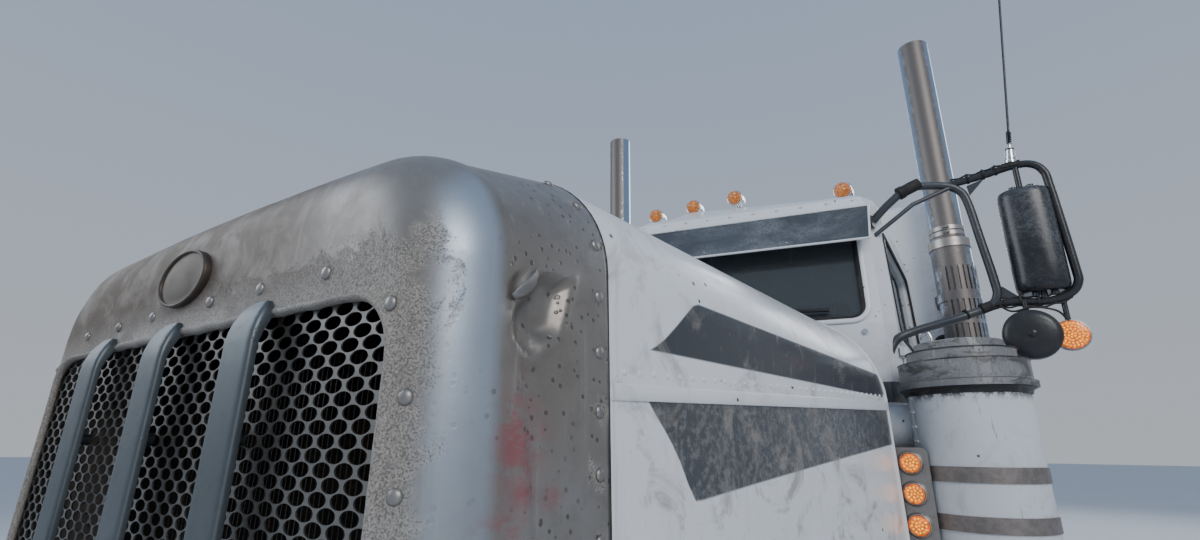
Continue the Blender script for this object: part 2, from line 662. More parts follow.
def head_tree(name, hexagon):
    tree = Tree(name, {"Radius": 0.009, "Height": 0.005})
    radius, height = tree.given["Radius"], tree.given["Height"]
    if hexagon:
        head, washer = (tree.add("GeometryNodeMeshCylinder", {
            "Vertices": sides, "Radius": tree.maths("MULTIPLY", radius, wider),
            "Depth": tree.maths("MULTIPLY", height, deeper)}, "Mesh")
            for sides, wider, deeper in ((6, 1.0, 2.0), (14, 1.35, 0.45)))
        shape = tree.add("GeometryNodeJoinGeometry", {0: [head, washer]})
    else:
        ball = tree.add("GeometryNodeMeshUVSphere", {"Segments": 12, "Rings": 8, "Radius": 1.0}, "Mesh")
        size = tree.add("ShaderNodeCombineXYZ", {"X": radius, "Y": radius, "Z": height})
        shape = tree.add("GeometryNodeSetShadeSmooth",
                         {0: tree.add("GeometryNodeTransform", {"Geometry": ball, "Scale": size})})
    aim = tree.add("GeometryNodeInputNamedAttribute", {"Name": "aim"}, data_type="FLOAT_VECTOR")
    turn = tree.add("FunctionNodeAlignRotationToVector", {"Vector": aim}, axis="Z")
    return tree.closed(tree.add("GeometryNodeInstanceOnPoints", {
        "Points": tree.given["Geometry"], "Instance": shape, "Rotation": turn}))


dome_tree = head_tree("rivet_heads", False)
hex_tree = head_tree("hexagon_heads", True)


def grown(name, tree, points, faces, aims, sizes, finish, body, smooth=None):
    """Runs a tree on a small mesh and keeps the result as one plain piece."""
    seed = bpy.data.meshes.new(name + "_seed")
    seed.from_pydata([Vector(p) for p in points], [], faces)
    if aims:
        stored = seed.attributes.new("aim", "FLOAT_VECTOR", "POINT")
        stored.data.foreach_set("vector", [v for aim in aims for v in aim])
    host = bpy.data.objects.new(name + "_host", seed)
    bpy.context.scene.collection.objects.link(host)
    run = host.modifiers.new("grow", "NODES")
    run.node_group = tree
    for item in tree.interface.items_tree:
        if item.in_out == "INPUT" and item.name in sizes:
            run[item.identifier] = sizes[item.name]
        if item.in_out == "INPUT" and item.name == "Finish":
            run[item.identifier] = finish
    ready = host.evaluated_get(bpy.context.evaluated_depsgraph_get())
    mesh = bpy.data.meshes.new_from_object(ready)
    mesh.name = name
    bpy.data.objects.remove(host)
    made = bpy.data.objects.new(name, mesh)
    bpy.context.scene.collection.objects.link(made)
    coat(made, finish)
    if smooth:
        mesh.shade_smooth()
        mesh.set_sharp_from_angle(angle=math.radians(smooth))
    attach(made, body)
    return made


def rivets(name, spots, body, finish, radius=0.009, height=0.005, hexagon=False):
    """Heads at spots, each a (point, direction)."""
    points = [p for p, _ in spots]
    aims = [tuple(Vector(a).normalized()) for _, a in spots]
    return grown(name, hex_tree if hexagon else dome_tree, points, [], aims,
                 {"Radius": radius, "Height": height}, finish, body)


def other_side(spots):
    """The same spots on the far side of the truck."""
    return [(Vector((-p.x, p.y, p.z)), Vector((-a.x, a.y, a.z))) for p, a in spots]


def spoke(angle):
    """A level direction at an angle, and the one a quarter turn on."""
    return Vector((math.cos(angle), math.sin(angle), 0)), Vector((-math.sin(angle), math.cos(angle), 0))


def spaced(start, stop, count):
    """Points in a row, both ends included."""
    start, stop = Vector(start), Vector(stop)
    return [start.lerp(stop, i / max(count - 1, 1)) for i in range(count)]


print("rivet and bolt trees ready")

# %% [markdown]
# ## The grille surround
# The surround is a deep shell of bare aluminium with a softly rounded front edge, rolled inwards round
# the opening. It could be cut from the CAD solid, but that is a faceted roll with no dents. So its mesh
# is written again from the section rule that the CAD uses, finer, with the bowl-shaped dent, the lifted
# flap and the creases below it pushed into the driver's-side corner. Two attributes go with it: wear
# gathers near rivets and the opening, and scrape marks the reddish rub.

# %% The section rule of the hood and surround
def half_section(half, top, radius, drop, bottom, side=24, arc=16, crown=18):
    """The driver's half of a section as (x, z), from the side's foot over the shoulder to the middle."""
    half, top, radius, drop, bottom = (float(v) for v in (half, top, radius, drop, bottom))
    slope = 0.02
    high, high_z = half - slope * (top - drop - 1.556), top - drop
    wide = (high * high + drop * drop) / (2 * drop)
    hub = Vector((0, top - wide))
    out = Vector((1, slope)).normalized()
    climb = Vector((-slope, 1)).normalized()
    low, far = -1.2, 0.3
    for _ in range(50):
        reach = (low + far) / 2
        centre = Vector((high, high_z)) + climb * reach - out * radius
        if (centre - hub).length > wide - radius:
            far = reach
        else:
            low = reach
    first = math.atan2(out.y, out.x)
    last = math.atan2((centre - hub).y, (centre - hub).x)
    foot = Vector((half + slope * (1.556 - bottom), bottom))
    start = centre + out * radius
    run = [foot.lerp(start, i / side) for i in range(side)]
    run += [centre + radius * Vector((math.cos(a), math.sin(a)))
            for a in (first + (last - first) * i / arc for i in range(arc))]
    run += [hub + wide * Vector((math.cos(a), math.sin(a)))
            for a in (last + (math.pi / 2 - last) * i / crown for i in range(crown + 1))]
    return run


def full_section(place, values, bottom, **counts):
    """The whole section at a place behind the grille's face, driver's side first."""
    run = half_section(*values, bottom, **counts)
    both = run + [Vector((-p.x, p.y)) for p in run[-2::-1]]
    return [Vector((p.x, FACE + place, p.y)) for p in both]


def hood_values(place, inset=0.0):
    share = (place - 0.316) / 1.257
    return (0.702 + 0.215 * share - inset, 1.975 + 0.028 * share - inset, 0.214 + 0.073 * share - inset,
            0.020 + 0.136 * share)


def nose_values(place, roll=ROLL):
    """The surround's section: its front edge rolls in over the first stretch."""
    if place >= roll:
        share = (place - roll) / (0.316 - roll)
        return 0.69 + 0.012 * share, 1.929 + 0.046 * share, 0.214, 0.020
    cut = roll - math.sqrt(max(roll * roll - (roll - place) ** 2, 0.0))
    return 0.69 - cut, 1.929 - cut, 0.214 - cut, 0.020


rear_edge = full_section(0.316, nose_values(0.316), 0.82)
print("rear edge: half width %.3f, top %.3f" % (max(p.x for p in rear_edge), max(p.z for p in rear_edge)))

# %% Where the rivets sit on the surround
face_rivets = [(0.114, 1.720), (0.276, 1.718), (0.449, 1.716), (0.594, 1.655), (0.626, 1.545), (0.626, 1.441),
               (0.626, 1.337), (0.626, 1.233), (0.626, 1.129), (0.626, 1.025), (0.595, 0.905)]
edge_line = [p for p in full_section(0.292, nose_values(0.292), 1.08) if p.x >= -0.001]
lengths = [0.0]
for a, b in zip(edge_line, edge_line[1:]):
    lengths.append(lengths[-1] + (b - a).length)
shoulder_spots = []
for far in np.arange(0.12, lengths[-1], 0.0855):
    k = max(i for i, v in enumerate(lengths) if v <= far)
    k = min(k, len(edge_line) - 2)
    spot = edge_line[k].lerp(edge_line[k + 1], (far - lengths[k]) / max(lengths[k + 1] - lengths[k], 1e-6))
    away = (edge_line[k + 1] - edge_line[k]).cross(Vector((0, 1, 0))).normalized()
    shoulder_spots.append((spot, away if away.dot(spot - Vector((0, spot.y, 1.4))) > 0 else -away))
face_spots = [(Vector((x, FACE + max(0.0, ROLL - math.sqrt(max(0.0, ROLL ** 2 - (x - 0.575) ** 2))) * (x > 0.575),
                       z)),
               Vector((0.35 if x > 0.6 else 0.0, -1, 0))) for x, z in face_rivets]
surround_spots = shoulder_spots + face_spots
surround_spots += other_side([spot for spot in surround_spots if spot[0].x > 0.02])
print("surround rivets:", len(surround_spots))

# %% The surround's mesh with its opening, dents and attributes
def corner_radius_outline(half, low, high, corner, steps=10):
    """A rectangle with round corners as (x, z), starting at the driver's side, going up."""
    run = []
    for cx, cz, first in ((half - corner, high - corner, 0), (-half + corner, high - corner, 90),
                          (-half + corner, low + corner, 180), (half - corner, low + corner, 270)):
        for i in range(steps + 1):
            a = math.radians(first + 90 * i / steps)
            run.append(Vector((cx + corner * math.cos(a), cz + corner * math.sin(a))))
    return run


def polar_radius(outline, centre, angles):
    """How far a closed outline is from a centre at each angle."""
    dense = []
    for a, b in zip(outline, outline[1:] + outline[:1]):
        dense += [a.lerp(b, i / 12) for i in range(12)]
    seen = sorted((math.atan2(p.y - centre.y, p.x - centre.x) % math.tau, (p - centre).length) for p in dense)
    return np.interp(angles, [s[0] for s in seen], [s[1] for s in seen], period=math.tau)


dent_edge = [(0.103, 1.676), (0.113, 1.617), (0.149, 1.598), (0.203, 1.642), (0.230, 1.724), (0.155, 1.721)]


def dent_depth(side, z):
    """How deep a place on the driver's-side corner is pushed in, with its folds and the lifted flap."""
    inside = 1e9
    for (ay, az), (by, bz) in zip(dent_edge, dent_edge[1:] + dent_edge[:1]):
        ey, ez = by - ay, bz - az
        inside = min(inside, ((side - ay) * ez - (z - az) * ey) / math.hypot(ey, ez) * -1.0)
    bowl = min(max(inside / 0.026, 0.0), 1.0)
    depth = 0.017 * bowl * bowl * (3 - 2 * bowl)
    depth -= 0.0045 * math.exp(-(((inside + 0.002) / 0.007) ** 2))
    along = (side - 0.128) * 0.62 + (z - 1.684) * 0.78
    off = (side - 0.128) * 0.78 - (z - 1.684) * 0.62
    depth -= 0.013 * math.exp(-((along / 0.030) ** 2 + ((off - 0.004) / 0.010) ** 2))
    depth += 0.010 * math.exp(-(((along - 0.004) / 0.026) ** 2 + ((off + 0.013) / 0.0075) ** 2))
    folds = math.exp(-(((side - 0.152) / 0.030) ** 2 + ((z - 1.640) / 0.038) ** 2))
    depth += 0.0042 * math.sin(150 * (z - 1.60) + 60 * (side - 0.15)) * folds
    crease = side - 0.118 - 0.16 * (1.60 - z)
    depth -= 0.0050 * math.exp(-((crease / 0.0085) ** 2)) * min(max((1.63 - z) / 0.03, 0.0),
                                                                1.0) * min(max((z - 1.20) / 0.25, 0.0), 1.0)
    depth += 0.0035 * math.exp(-(((crease - 0.022) / 0.014) ** 2)) * min(max((1.62 - z) / 0.03, 0.0),
                                                                         1.0) * min(max((z - 1.25) / 0.2, 0.0), 1.0)
    return depth


def dented(p):
    """Moves a point of the driver's-side corner for its dent, flap and creases."""
    wave = 0.0016 * (noise.noise(p * 4.0) + 0.5 * noise.noise(p * 11.0)) if p.z < 1.90 else 0.0
    if p.x < 0.56 or p.z < 1.15:
        return p + Vector((0, 0.6 * wave, 0))
    push = wave - dent_depth(p.y - FACE, p.z)
    return Vector((p.x + 0.95 * push, p.y - 0.22 * push, p.z))


def wheel_cut(place):
    """The lowest height of the surround's side at a place: it clears the steered tyre."""
    across = 0.565 ** 2 - (0.5 - place) ** 2
    return max(0.82, 0.525 + math.sqrt(across)) if across > 0 else 0.82


roll_places = [ROLL * (1 - math.cos(math.radians(a))) for a in np.linspace(27, 90, 15)]
rear_places = list(np.linspace(ROLL, 0.316, 27)[1:])
shell_rows = []
for place in roll_places + rear_places:
    shell_rows.append(full_section(place, nose_values(place), wheel_cut(place), side=96, arc=34, crown=26))
rim_row = shell_rows[0]
foot_row = spaced(rim_row[-1], rim_row[0], 42)[1:-1]
hub = Vector((0, 1.297))
loop = rim_row + foot_row
angles = np.array([math.atan2(p.z - hub.y, p.x - hub.x) % math.tau for p in loop])
opening = corner_radius_outline(0.591, 0.907, 1.668, 0.075)
reach = polar_radius(opening, hub, angles)
flat_edge = full_section(0.0, nose_values(0.0), 0.82, side=96, arc=34, crown=26)
flat_edge += spaced(flat_edge[-1], flat_edge[0], 42)[1:-1]
flat_reach = polar_radius([Vector((p.x, p.z)) for p in flat_edge], hub, angles)
loop_reach = [math.hypot(p.x - hub.x, p.z - hub.y) for p in loop]


def on_face(i, radius, back=0.0):
    """A point of the face at an angle and radius: flat inside, rolling back outside the flat edge."""
    wide = loop_reach[i] - flat_reach[i]
    d = 0.0521 * min(max((radius - flat_reach[i]) / wide, 0.0), 1.0) if wide > 0.01 else 0.0
    return Vector((hub.x + radius * math.cos(angles[i]), FACE + ROLL - math.sqrt(ROLL ** 2 - d * d) + back,
                   hub.y + radius * math.sin(angles[i])))


lip_rows = []
for outward, back in ((0.004, 0.0115), (0.0, 0.006), (0.0015, 0.0005), (0.005, -0.0032), (0.010, -0.0042),
                      (0.0145, -0.0022),
                      (0.0165, 0.0)):
    lip_rows.append([on_face(i, float(reach[i]) + min(outward, float(loop_reach[i] - reach[i]) * 0.9), back)
                     for i in range(len(loop))])
face_rows = [[on_face(i, float(reach[i]) + 0.0165 + share * (loop_reach[i] - float(reach[i]) - 0.0165))
              for i in range(len(loop))]
             for share in (0.15, 0.32, 0.5, 0.68, 0.85)]
shell = Shape()
shell.grid(lip_rows + face_rows + [loop], closed=True)
shell.grid(shell_rows)
shell.points = [dented(p) for p in shell.points]
surround = piece("surround_shell", shell, "hood", bar_alloy, "bare_aluminium", tidy=False, merge=2e-4, smooth=50)
test = surround.data.polygons[len(surround.data.polygons) - 200]
if test.normal.dot(test.center - Vector((0, test.center.y, 1.3))) < 0:
    surround.data.flip_normals()
wall = surround.modifiers.new("wall", "SOLIDIFY")
wall.thickness, wall.offset = 0.006, -1.0
wear = surround.data.attributes.new("wear", "FLOAT", "POINT")
scrape = surround.data.attributes.new("scrape", "FLOAT", "POINT")
spots_at = np.array([tuple(p) for p, _ in surround_spots])
worn, scraped = [], []
for vertex in surround.data.vertices:
    p = vertex.co
    near = float(np.min(np.linalg.norm(spots_at - np.array(p), axis=1)))
    dx, dz = max(abs(p.x) - 0.598, 0.0), max(p.z - 1.694, 0.9 - p.z, 0.0)
    lip = math.hypot(dx, dz) if p.y < FACE + 0.05 else 0.4
    top = math.exp(-(((p.z - 1.73) / 0.05) ** 2)) * (0.7 if p.y < FACE + 0.03 else 0.0)
    worn.append(max(0.55 * math.exp(-((near / 0.035) ** 2)), math.exp(-((lip / 0.062) ** 2)), top))
    place = p.y - FACE
    red = 0.0
    if p.x > 0.6:
        for y0, z0, wide, tall in ((0.118, 1.533, 0.040, 0.020), (0.146, 1.500, 0.034, 0.026),
                                   (0.130, 1.466, 0.032, 0.018),
                                   (0.140, 1.439, 0.022, 0.014), (0.195, 1.432, 0.018, 0.012),
                                   (0.112, 1.400, 0.034, 0.018),
                                   (0.122, 1.500, 0.026, 0.060)):
            red = max(red, math.exp(-(((place - y0) / wide) ** 2 + ((p.z - z0) / tall) ** 2)))
    scraped.append(red)
wear.data.foreach_set("value", worn)
scrape.data.foreach_set("value", scraped)
print("surround faces:", len(surround.data.polygons))

# %% The surround's finish: grey aluminium, pitted where it is worn
def surround_finish():
    f = Finish("surround_metal", Metallic=0.62)
    x, y, z = f.axes()
    worn = f.stored("wear")
    broad = f.cloud(1.9, 4, 0.55)
    mid = f.cloud(13, 6, 0.65, twist=0.5)
    grain = f.cloud(390, 3, 0.7)
    colour = f.mix(f.band(broad, 0.36, 0.66), (0.235, 0.210, 0.182), (0.295, 0.285, 0.275))
    colour = f.mix(f.times(f.band(mid, 0.42, 0.68), 0.40), colour, (0.165, 0.152, 0.140))
    corner = f.times(f.band(x, 0.60, 0.65), f.band(y, FACE + 0.010, FACE + 0.040),
                     f.band(y, FACE + 0.105, FACE + 0.078))
    corner = f.times(corner, f.number(f.band(z, 1.15, 1.62), 0.25, 1.0),
                     f.number(f.cloud(7, 6, 0.6, stretch=(1, 1, 0.2)), 0.55, 1.05))
    colour = f.mix(corner, colour, (0.37, 0.44, 0.52))
    streak = f.times(f.band(f.cloud(9, 7, 0.7, stretch=(5, 5, 0.3)), 0.53, 0.70), 0.30)
    colour = f.mix(streak, colour, (0.47, 0.46, 0.44))
    patch = f.band(f.math("ADD", f.cloud(8, 7, 0.7, twist=0.8), f.times(worn, 0.36)), 0.64, 0.76)
    light = f.times(patch, f.band(grain, 0.50, 0.60), 0.80)
    dark = f.times(patch, f.band(grain, 0.47, 0.39), 0.75)
    colour = f.mix(light, colour, (0.40, 0.37, 0.33))
    colour = f.mix(dark, colour, (0.120, 0.108, 0.096))
    high = f.times(f.band(z, 1.64, 1.76), f.band(x, 0.62, 0.30))
    tan = f.times(high, f.number(f.band(mid, 0.30, 0.62), 0.70, 1.0), f.number(f.band(x, 0.45, -0.35), 0.75, 1.0))
    colour = f.mix(tan, colour, (0.105, 0.080, 0.060))
    dots = f.specks(62)
    side = f.band(y, FACE + 0.06, FACE + 0.12)
    chip = f.times(f.band(dots, 0.26, 0.17), f.band(f.cloud(9, 4), 0.42, 0.54), f.number(side, 0.12, 0.9))
    colour = f.mix(chip, colour, (0.11, 0.10, 0.095))
    rub = f.times(f.stored("scrape"), f.band(f.cloud(15, 6, 0.7, stretch=(1, 0.8, 1.6)), 0.40, 0.56))
    colour = f.mix(f.times(rub, 0.82), colour, (0.250, 0.055, 0.070))
    f.put("Base Color", colour)
    f.put("Metallic", f.number(f.most(patch, rub, tan), 0.66, 0.15))
    f.put("Roughness", f.number(f.most(f.times(mid, 0.75), patch, rub, tan), 0.27, 0.66))
    f.put("Specular IOR Level", f.number(tan, 0.5, 0.22))
    f.lumps(f.cloud(5, 3), 0.004, 0.3)
    f.lumps(f.math("SUBTRACT", f.times(mid, 0.5), f.most(dark, chip)), 0.0018, 0.5)
    return f.material


rivet_metal = aluminium("rivet_metal", tone=(0.33, 0.315, 0.30), gloss=(0.34, 0.6), pits=0.6)
coat(surround, surround_finish())
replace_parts(surround, "grille_surround")
arms = Shape()
for side in (-1, 1):
    flat = [(side * 0.366, y, z) for y, z in ((-4.054, 0.72), (-4.054, 0.76), (-3.917, 0.868), (-3.892, 0.868),
                                               (-3.892, 0.815), (-3.986, 0.72))]
    arms.plate(flat, (side * 0.020, 0, 0))
piece("hood_hinge_arms", arms, "hood", frame_paint, "chassis_paint", bevel=0.003)
rivets("surround_rivets", surround_spots, "hood", rivet_metal, radius=0.0100, height=0.0055)
print("surround ready, rivets", len(surround_spots))

# %% The torn flap at the dent's front edge
flap = Shape()
rows = []
for i in range(9):
    share = i / 8
    place, high = 0.104 + 0.052 * share, 1.674 + 0.050 * share
    wide = 0.0125 * math.sin(math.pi * (0.12 + 0.80 * share))
    rows.append([Vector((0.6935 - 0.004 * share + 0.0105 * math.sin(math.pi * share) * (1 - k / 4) ** 0.7 + 0.0008 * math.sin(9 * k + i),
                         FACE + place + wide * (k / 4 - 0.2) * 1.5, high - wide * (k / 4 - 0.2) * 1.1))
                         for k in range(5)])
flap.grid(rows)
piece("torn_flap", flap, "hood", rivet_metal, "bare_aluminium", thick=0.0012, smooth=60)

# %% [markdown]
# ## The perforated screen
# Behind the opening lies a sheet of punched metal with wide oval holes. Boolean cuts would take minutes,
# and a picture of holes would be flat from the side. In Geometry Nodes, a grid of points has every other
# row shifted, a flattened circle goes on each point, and Fill Curve turns the frame and all the ovals into
# one sheet at once, which is then given its thickness.

# %% A tree for punched sheet
def punched_tree():
    tree = Tree("punched_sheet", {"Width": 1.236, "Height": 0.844, "Pitch": 0.045, "Row pitch": 0.017, "Hole": 0.0187,
                                  "Flatness": 0.5, "Thickness": 0.0025, "Columns": 27, "Rows": 49})
    given, add, maths = tree.given, tree.add, tree.maths
    pitch, row_pitch = given["Pitch"], given["Row pitch"]
    wide = maths("MULTIPLY", pitch, maths("SUBTRACT", given["Columns"], 1.0))
    tall = maths("MULTIPLY", row_pitch, maths("SUBTRACT", given["Rows"], 1.0))
    field = add("GeometryNodeMeshGrid", {"Size X": wide, "Size Y": tall, "Vertices X": given["Columns"],
                                         "Vertices Y": given["Rows"]}, "Mesh")
    place = add("ShaderNodeSeparateXYZ", {0: add("GeometryNodeInputPosition", {})}, None)
    row = maths("ROUND", maths("DIVIDE", maths("ADD", place[1], maths("MULTIPLY", tall, 0.5)), row_pitch), 0.0)
    odd = maths("SUBTRACT", maths("MODULO", row, 2.0), 0.5)
    shift = add("ShaderNodeCombineXYZ", {0: maths("MULTIPLY", maths("MULTIPLY", odd, pitch), 0.5)})
    moved = add("GeometryNodeSetPosition", {"Geometry": field, "Offset": shift})
    circle = add("GeometryNodeCurvePrimitiveCircle", {"Resolution": 18, "Radius": given["Hole"]}, "Curve")
    squash = add("ShaderNodeCombineXYZ", {0: 1.0, 1: given["Flatness"], 2: 1.0})
    oval = add("GeometryNodeTransform", {"Geometry": circle, "Scale": squash})
    holes = add("GeometryNodeRealizeInstances",
                {0: add("GeometryNodeInstanceOnPoints", {"Points": moved, "Instance": oval})})
    edge = add("GeometryNodeCurvePrimitiveQuadrilateral", {"Width": given["Width"], "Height": given["Height"]},
               "Curve")
    sheet = add("GeometryNodeFillCurve", {"Curve": add("GeometryNodeJoinGeometry", {0: [holes, edge]})})
    thick = add("GeometryNodeExtrudeMesh", {"Individual": False, "Mesh": sheet, "Offset Scale": given["Thickness"]},
                "Mesh", mode="FACES")
    back = add("GeometryNodeFlipFaces", {"Mesh": sheet})
    whole = add("GeometryNodeJoinGeometry", {0: [thick, back]})
    weld = add("GeometryNodeMergeByDistance", {"Geometry": whole, "Distance": 0.00005})
    return tree.closed(add("GeometryNodeTransform", {
        "Geometry": weld, "Rotation": (math.radians(90), 0, 0), "Translation": (0, FACE + 0.0145, 1.297)}))


screen = grown("punched_screen", punched_tree(), [(0, 0, 0)], [], None,
               {"Pitch": 0.045, "Row pitch": 0.0167, "Hole": 0.0187},
               screen_metal, "hood")
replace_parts(screen, "grille_screen")
print("screen triangles:", sum(len(p.vertices) - 2 for p in screen.data.polygons))

# %% [markdown]
# ## Grille bars and the oval boss
# The three uprights are flat strips of dull aluminium with rounded edges and tops pointed like a spear,
# set a little proud of the surround. The boss above them is a domed oval with a raised rim, left bare.
# Both are lofts of one profile: rows of points along the height, narrowing at the ends.

# %% Bars with rounded tops and the bare boss
bars = Shape()
body_rows = [(0.92 + 0.0355 * i, 1.0, 0.0295, 0.017) for i in range(1, 21)]
bar_rows = [(0.9003, 0.86, 0.0270, -0.0095), (0.905, 0.95, 0.0290, -0.0095), (0.918, 1.0, 0.0295, -0.0095),
            (0.919, 1.0, 0.0295, 0.017),
            *body_rows, (1.648, 0.98, 0.0280, 0.012), (1.663, 0.94, 0.0245, 0.005), (1.676, 0.86, 0.0195, 0.0005),
            (1.686, 0.74, 0.0135, 0.0), (1.6935, 0.58, 0.0080, 0.0)]
for x in (-0.296, 0.0, 0.296):
    rows = []
    for z, share, front, back in bar_rows:
        half = 0.040 * share
        ring = [Vector((x + half * math.copysign(abs(math.cos(a)) ** 0.30, math.cos(a)),
                        FACE - back - (front - back) * math.sin(a) ** 0.40, z))
                for a in (math.pi * i / 18 for i in range(19))]
        rows.append(ring)
    bars.grid(rows, closed=True)
    bars.add(rows[0], [tuple(range(19))])
    bars.add(rows[-1], [tuple(range(19))])
    for z in (1.08, 1.29, 1.50):
        bars.turned([(0.0, 0.011), (0.0305, 0.011)], (x - 0.024, FACE - 0.0185, z), (0, 1, 0), 12)
strip_metal = aluminium("strip_metal", tone=(0.125, 0.145, 0.158), gloss=(0.38, 0.62), pits=0.7, stains=0.3)
bar_piece = piece("grille_uprights", bars, "hood", strip_metal, "bare_aluminium", smooth=40)
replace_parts(bar_piece, "grille_bars")
boss = Shape()
oval = [(math.cos(a), math.sin(a)) for a in (math.tau * i / 56 for i in range(56))]
rows = []
for size, out in ((1.0, -0.0003), (1.0, 0.0085), (0.985, 0.0112), (0.95, 0.0120), (0.915, 0.0112), (0.90, 0.0080),
                  (0.86, 0.0078), (0.7, 0.0092), (0.5, 0.0104), (0.3, 0.0112), (0.12, 0.0116)):
    rows.append([Vector((0.092 * c * size, FACE - out, 1.776 + 0.052 * s * size)) for c, s in oval])
boss.grid(rows, closed=True)
boss.add(rows[0], [tuple(range(56))])
boss.add(rows[-1], [tuple(range(56))])
boss_metal = aluminium("boss_metal", tone=(0.105, 0.085, 0.070), gloss=(0.45, 0.7), pits=0.9, stains=0.2)
boss_piece = piece("oval_boss", boss, "hood", boss_metal, "bare_aluminium", smooth=60)
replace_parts(boss_piece, "emblem_plate")
print("bars", len(bar_piece.data.polygons), "boss", len(boss_piece.data.polygons))

# %% [markdown]
# ## Trim on the hood
# A white moulding runs back along the seam between the hood's upper and lower sheets, with a row of
# small rivets above it. Behind the surround lies a thin dark joint, and at its rear the hood ends in a
# rolled bead. All follow the section rule, so they are swept along points worked out from it.

# %% Moulding, rivets, rear bead, latches
def side_at(place, z, out=0.0):
    """The hood side's outer face at a place and height, moved outwards."""
    half = hood_values(place)[0]
    return Vector((half - 0.02 * (z - 1.556) + out, FACE + place, z))


def seam_height(place):
    return 1.573 + 0.038 * (place - 0.316)


moulding = Shape()
rows = []
for place in np.linspace(0.322, 1.568, 30):
    z = seam_height(place)
    rows.append([side_at(place, z + dz, out) for dz, out in ((-0.013, -0.002), (-0.013, 0.003), (-0.009, 0.0055),
                                                              (0.009, 0.0055), (0.013, 0.003), (0.013, -0.002))])
moulding.grid(rows, closed=True)
moulding.add(rows[0], [tuple(range(6))])
moulding.add(rows[-1], [tuple(range(6))])
moulding.mirrored()
piece("seam_moulding", moulding, "hood", plain_white, "white_paint", smooth=40)
seam_spots = []
for place in np.arange(0.352, 1.56, 0.0365):
    seam_spots.append((side_at(place, seam_height(place) + 0.030), Vector((1, -0.17, 0.02))))
seam_spots += other_side(seam_spots)
rivets("seam_rivets", seam_spots, "hood", plain_white, radius=0.0052, height=0.0028)
bead = Shape()
run = full_section(1.569, hood_values(1.569), 1.10, side=20, arc=14, crown=14)
bead.tube(run, 0.0055, sides=8)
joint = full_section(0.3165, hood_values(0.3165, 0.001), 1.10, side=20, arc=14, crown=14)
piece("hood_rear_bead", bead, "hood", plain_white, "white_paint", smooth=60)
gap = Shape()
gap.tube(joint, 0.0022, sides=6)
piece("hood_front_joint", gap, "hood", trim_rubber, "black_rubber", smooth=60)
latch = Shape()
root = side_at(1.50, 1.20)
latch.slab((root.x - 0.002, root.y - 0.06, 1.20 - 0.022), (root.x + 0.012, root.y + 0.03, 1.20 + 0.022))
latch.slab((root.x + 0.008, root.y - 0.035, 1.20 - 0.012), (root.x + 0.024, root.y + 0.015, 1.20 + 0.012))
latch.tube([root + Vector((0.016, -0.03, 0.0)), root + Vector((0.022, 0.04, 0.004)),
            root + Vector((0.018, 0.058, 0.004))], 0.006)
latch.mirrored()
piece("hood_latches", latch, "hood", trim_rubber, "black_rubber", bevel=0.003)
print("hood trim ready, seam rivets", len(seam_spots))
# %% [markdown]
# ## Windshield trim, wipers and visor lips
# Each pane sits in a white moulding with black rubber inside it. A moulding is one closed profile taken
# round a rounded rectangle, so a helper does that for the panes, the door windows and any other frame.
# The wipers lie parked low on the glass, behind the hood as seen from the camera.

# %% Mouldings round the panes
def round_box(half, tall, corner, steps=6):
    """A rounded rectangle as 2-D points, anticlockwise."""
    run = []
    for sx, sy, first in ((1, 1, 0), (-1, 1, 90), (-1, -1, 180), (1, -1, 270)):
        for i in range(steps + 1):
            a = math.radians(first + 90 * i / steps)
            run.append((sx * (half - corner) + corner * math.cos(a), sy * (tall - corner) + corner * math.sin(a)))
    return run


def framed(shape, middle, across, up, half, tall, corner, profile, steps=6):
    """Takes a closed profile of (outward, proud) pairs round a rounded rectangle."""
    across, up = Vector(across).normalized(), Vector(up).normalized()
    out = across.cross(up)
    rows = []
    for wide, proud in list(profile) + [profile[0]]:
        rows.append([Vector(middle) + across * x + up * y + out * proud
                     for x, y in round_box(half + wide, tall + wide, corner + wide, steps)])
    shape.grid(rows, closed=True)
    return shape


def pane_axes(side):
    """The windshield's plane on one side: its low middle point, across, up and outward directions."""
    low = Vector((0, FACE + 1.61, 1.925))
    across = (Vector((side * 0.915, FACE + 1.79, 1.925)) - low).normalized()
    rise = (Vector((0, FACE + 1.705, 2.425)) - low).normalized()
    out = across.cross(rise).normalized()
    out = -out if out.y > 0 else out
    up = out.cross(across)
    return low, across, (-up if up.z < 0 else up), out


white_trim, rubber_trim, wipers = Shape(), Shape(), Shape()
for side in (1, -1):
    low, across, up, out = pane_axes(side)
    middle = low + across * 0.459 + up * 0.2335
    right = across if across.cross(up).dot(out) > 0 else -across
    framed(white_trim, middle, right, up, 0.425, 0.2115, 0.05,
           ((0.000, -0.004), (0.001, 0.005), (0.006, 0.0085), (0.016, 0.008), (0.021, 0.003), (0.021, -0.004)))
    framed(rubber_trim, middle, right, up, 0.425, 0.2115, 0.05,
           ((-0.016, -0.0195), (-0.015, -0.012), (-0.006, 0.001), (0.0015, 0.0035), (0.0015, -0.0195)))
    pivot = low + across * 0.16 + up * -0.012 + out * 0.012
    tip = low + across * 0.50 + up * 0.075 + out * 0.022
    wipers.turned(((-0.012, 0.017), (0.006, 0.017), (0.016, 0.011), (0.019, 0.004)), pivot, out, 14)
    wipers.tube([pivot + out * 0.012, pivot.lerp(tip, 0.5) + out * 0.012, tip], 0.0055, 6)
    wipers.slab(tip - Vector((0.012, 0.004, 0.006)), tip + Vector((0.012, 0.004, 0.006)))
    for lift, thick in ((0.010, 0.006), (0.001, 0.004)):
        wipers.tube([low + across * 0.24 + up * 0.052 + out * (lift - 0.006),
                     low + across * 0.50 + up * 0.068 + out * (lift + 0.001),
                     low + across * 0.76 + up * 0.060 + out * (lift - 0.006)], thick, 6)
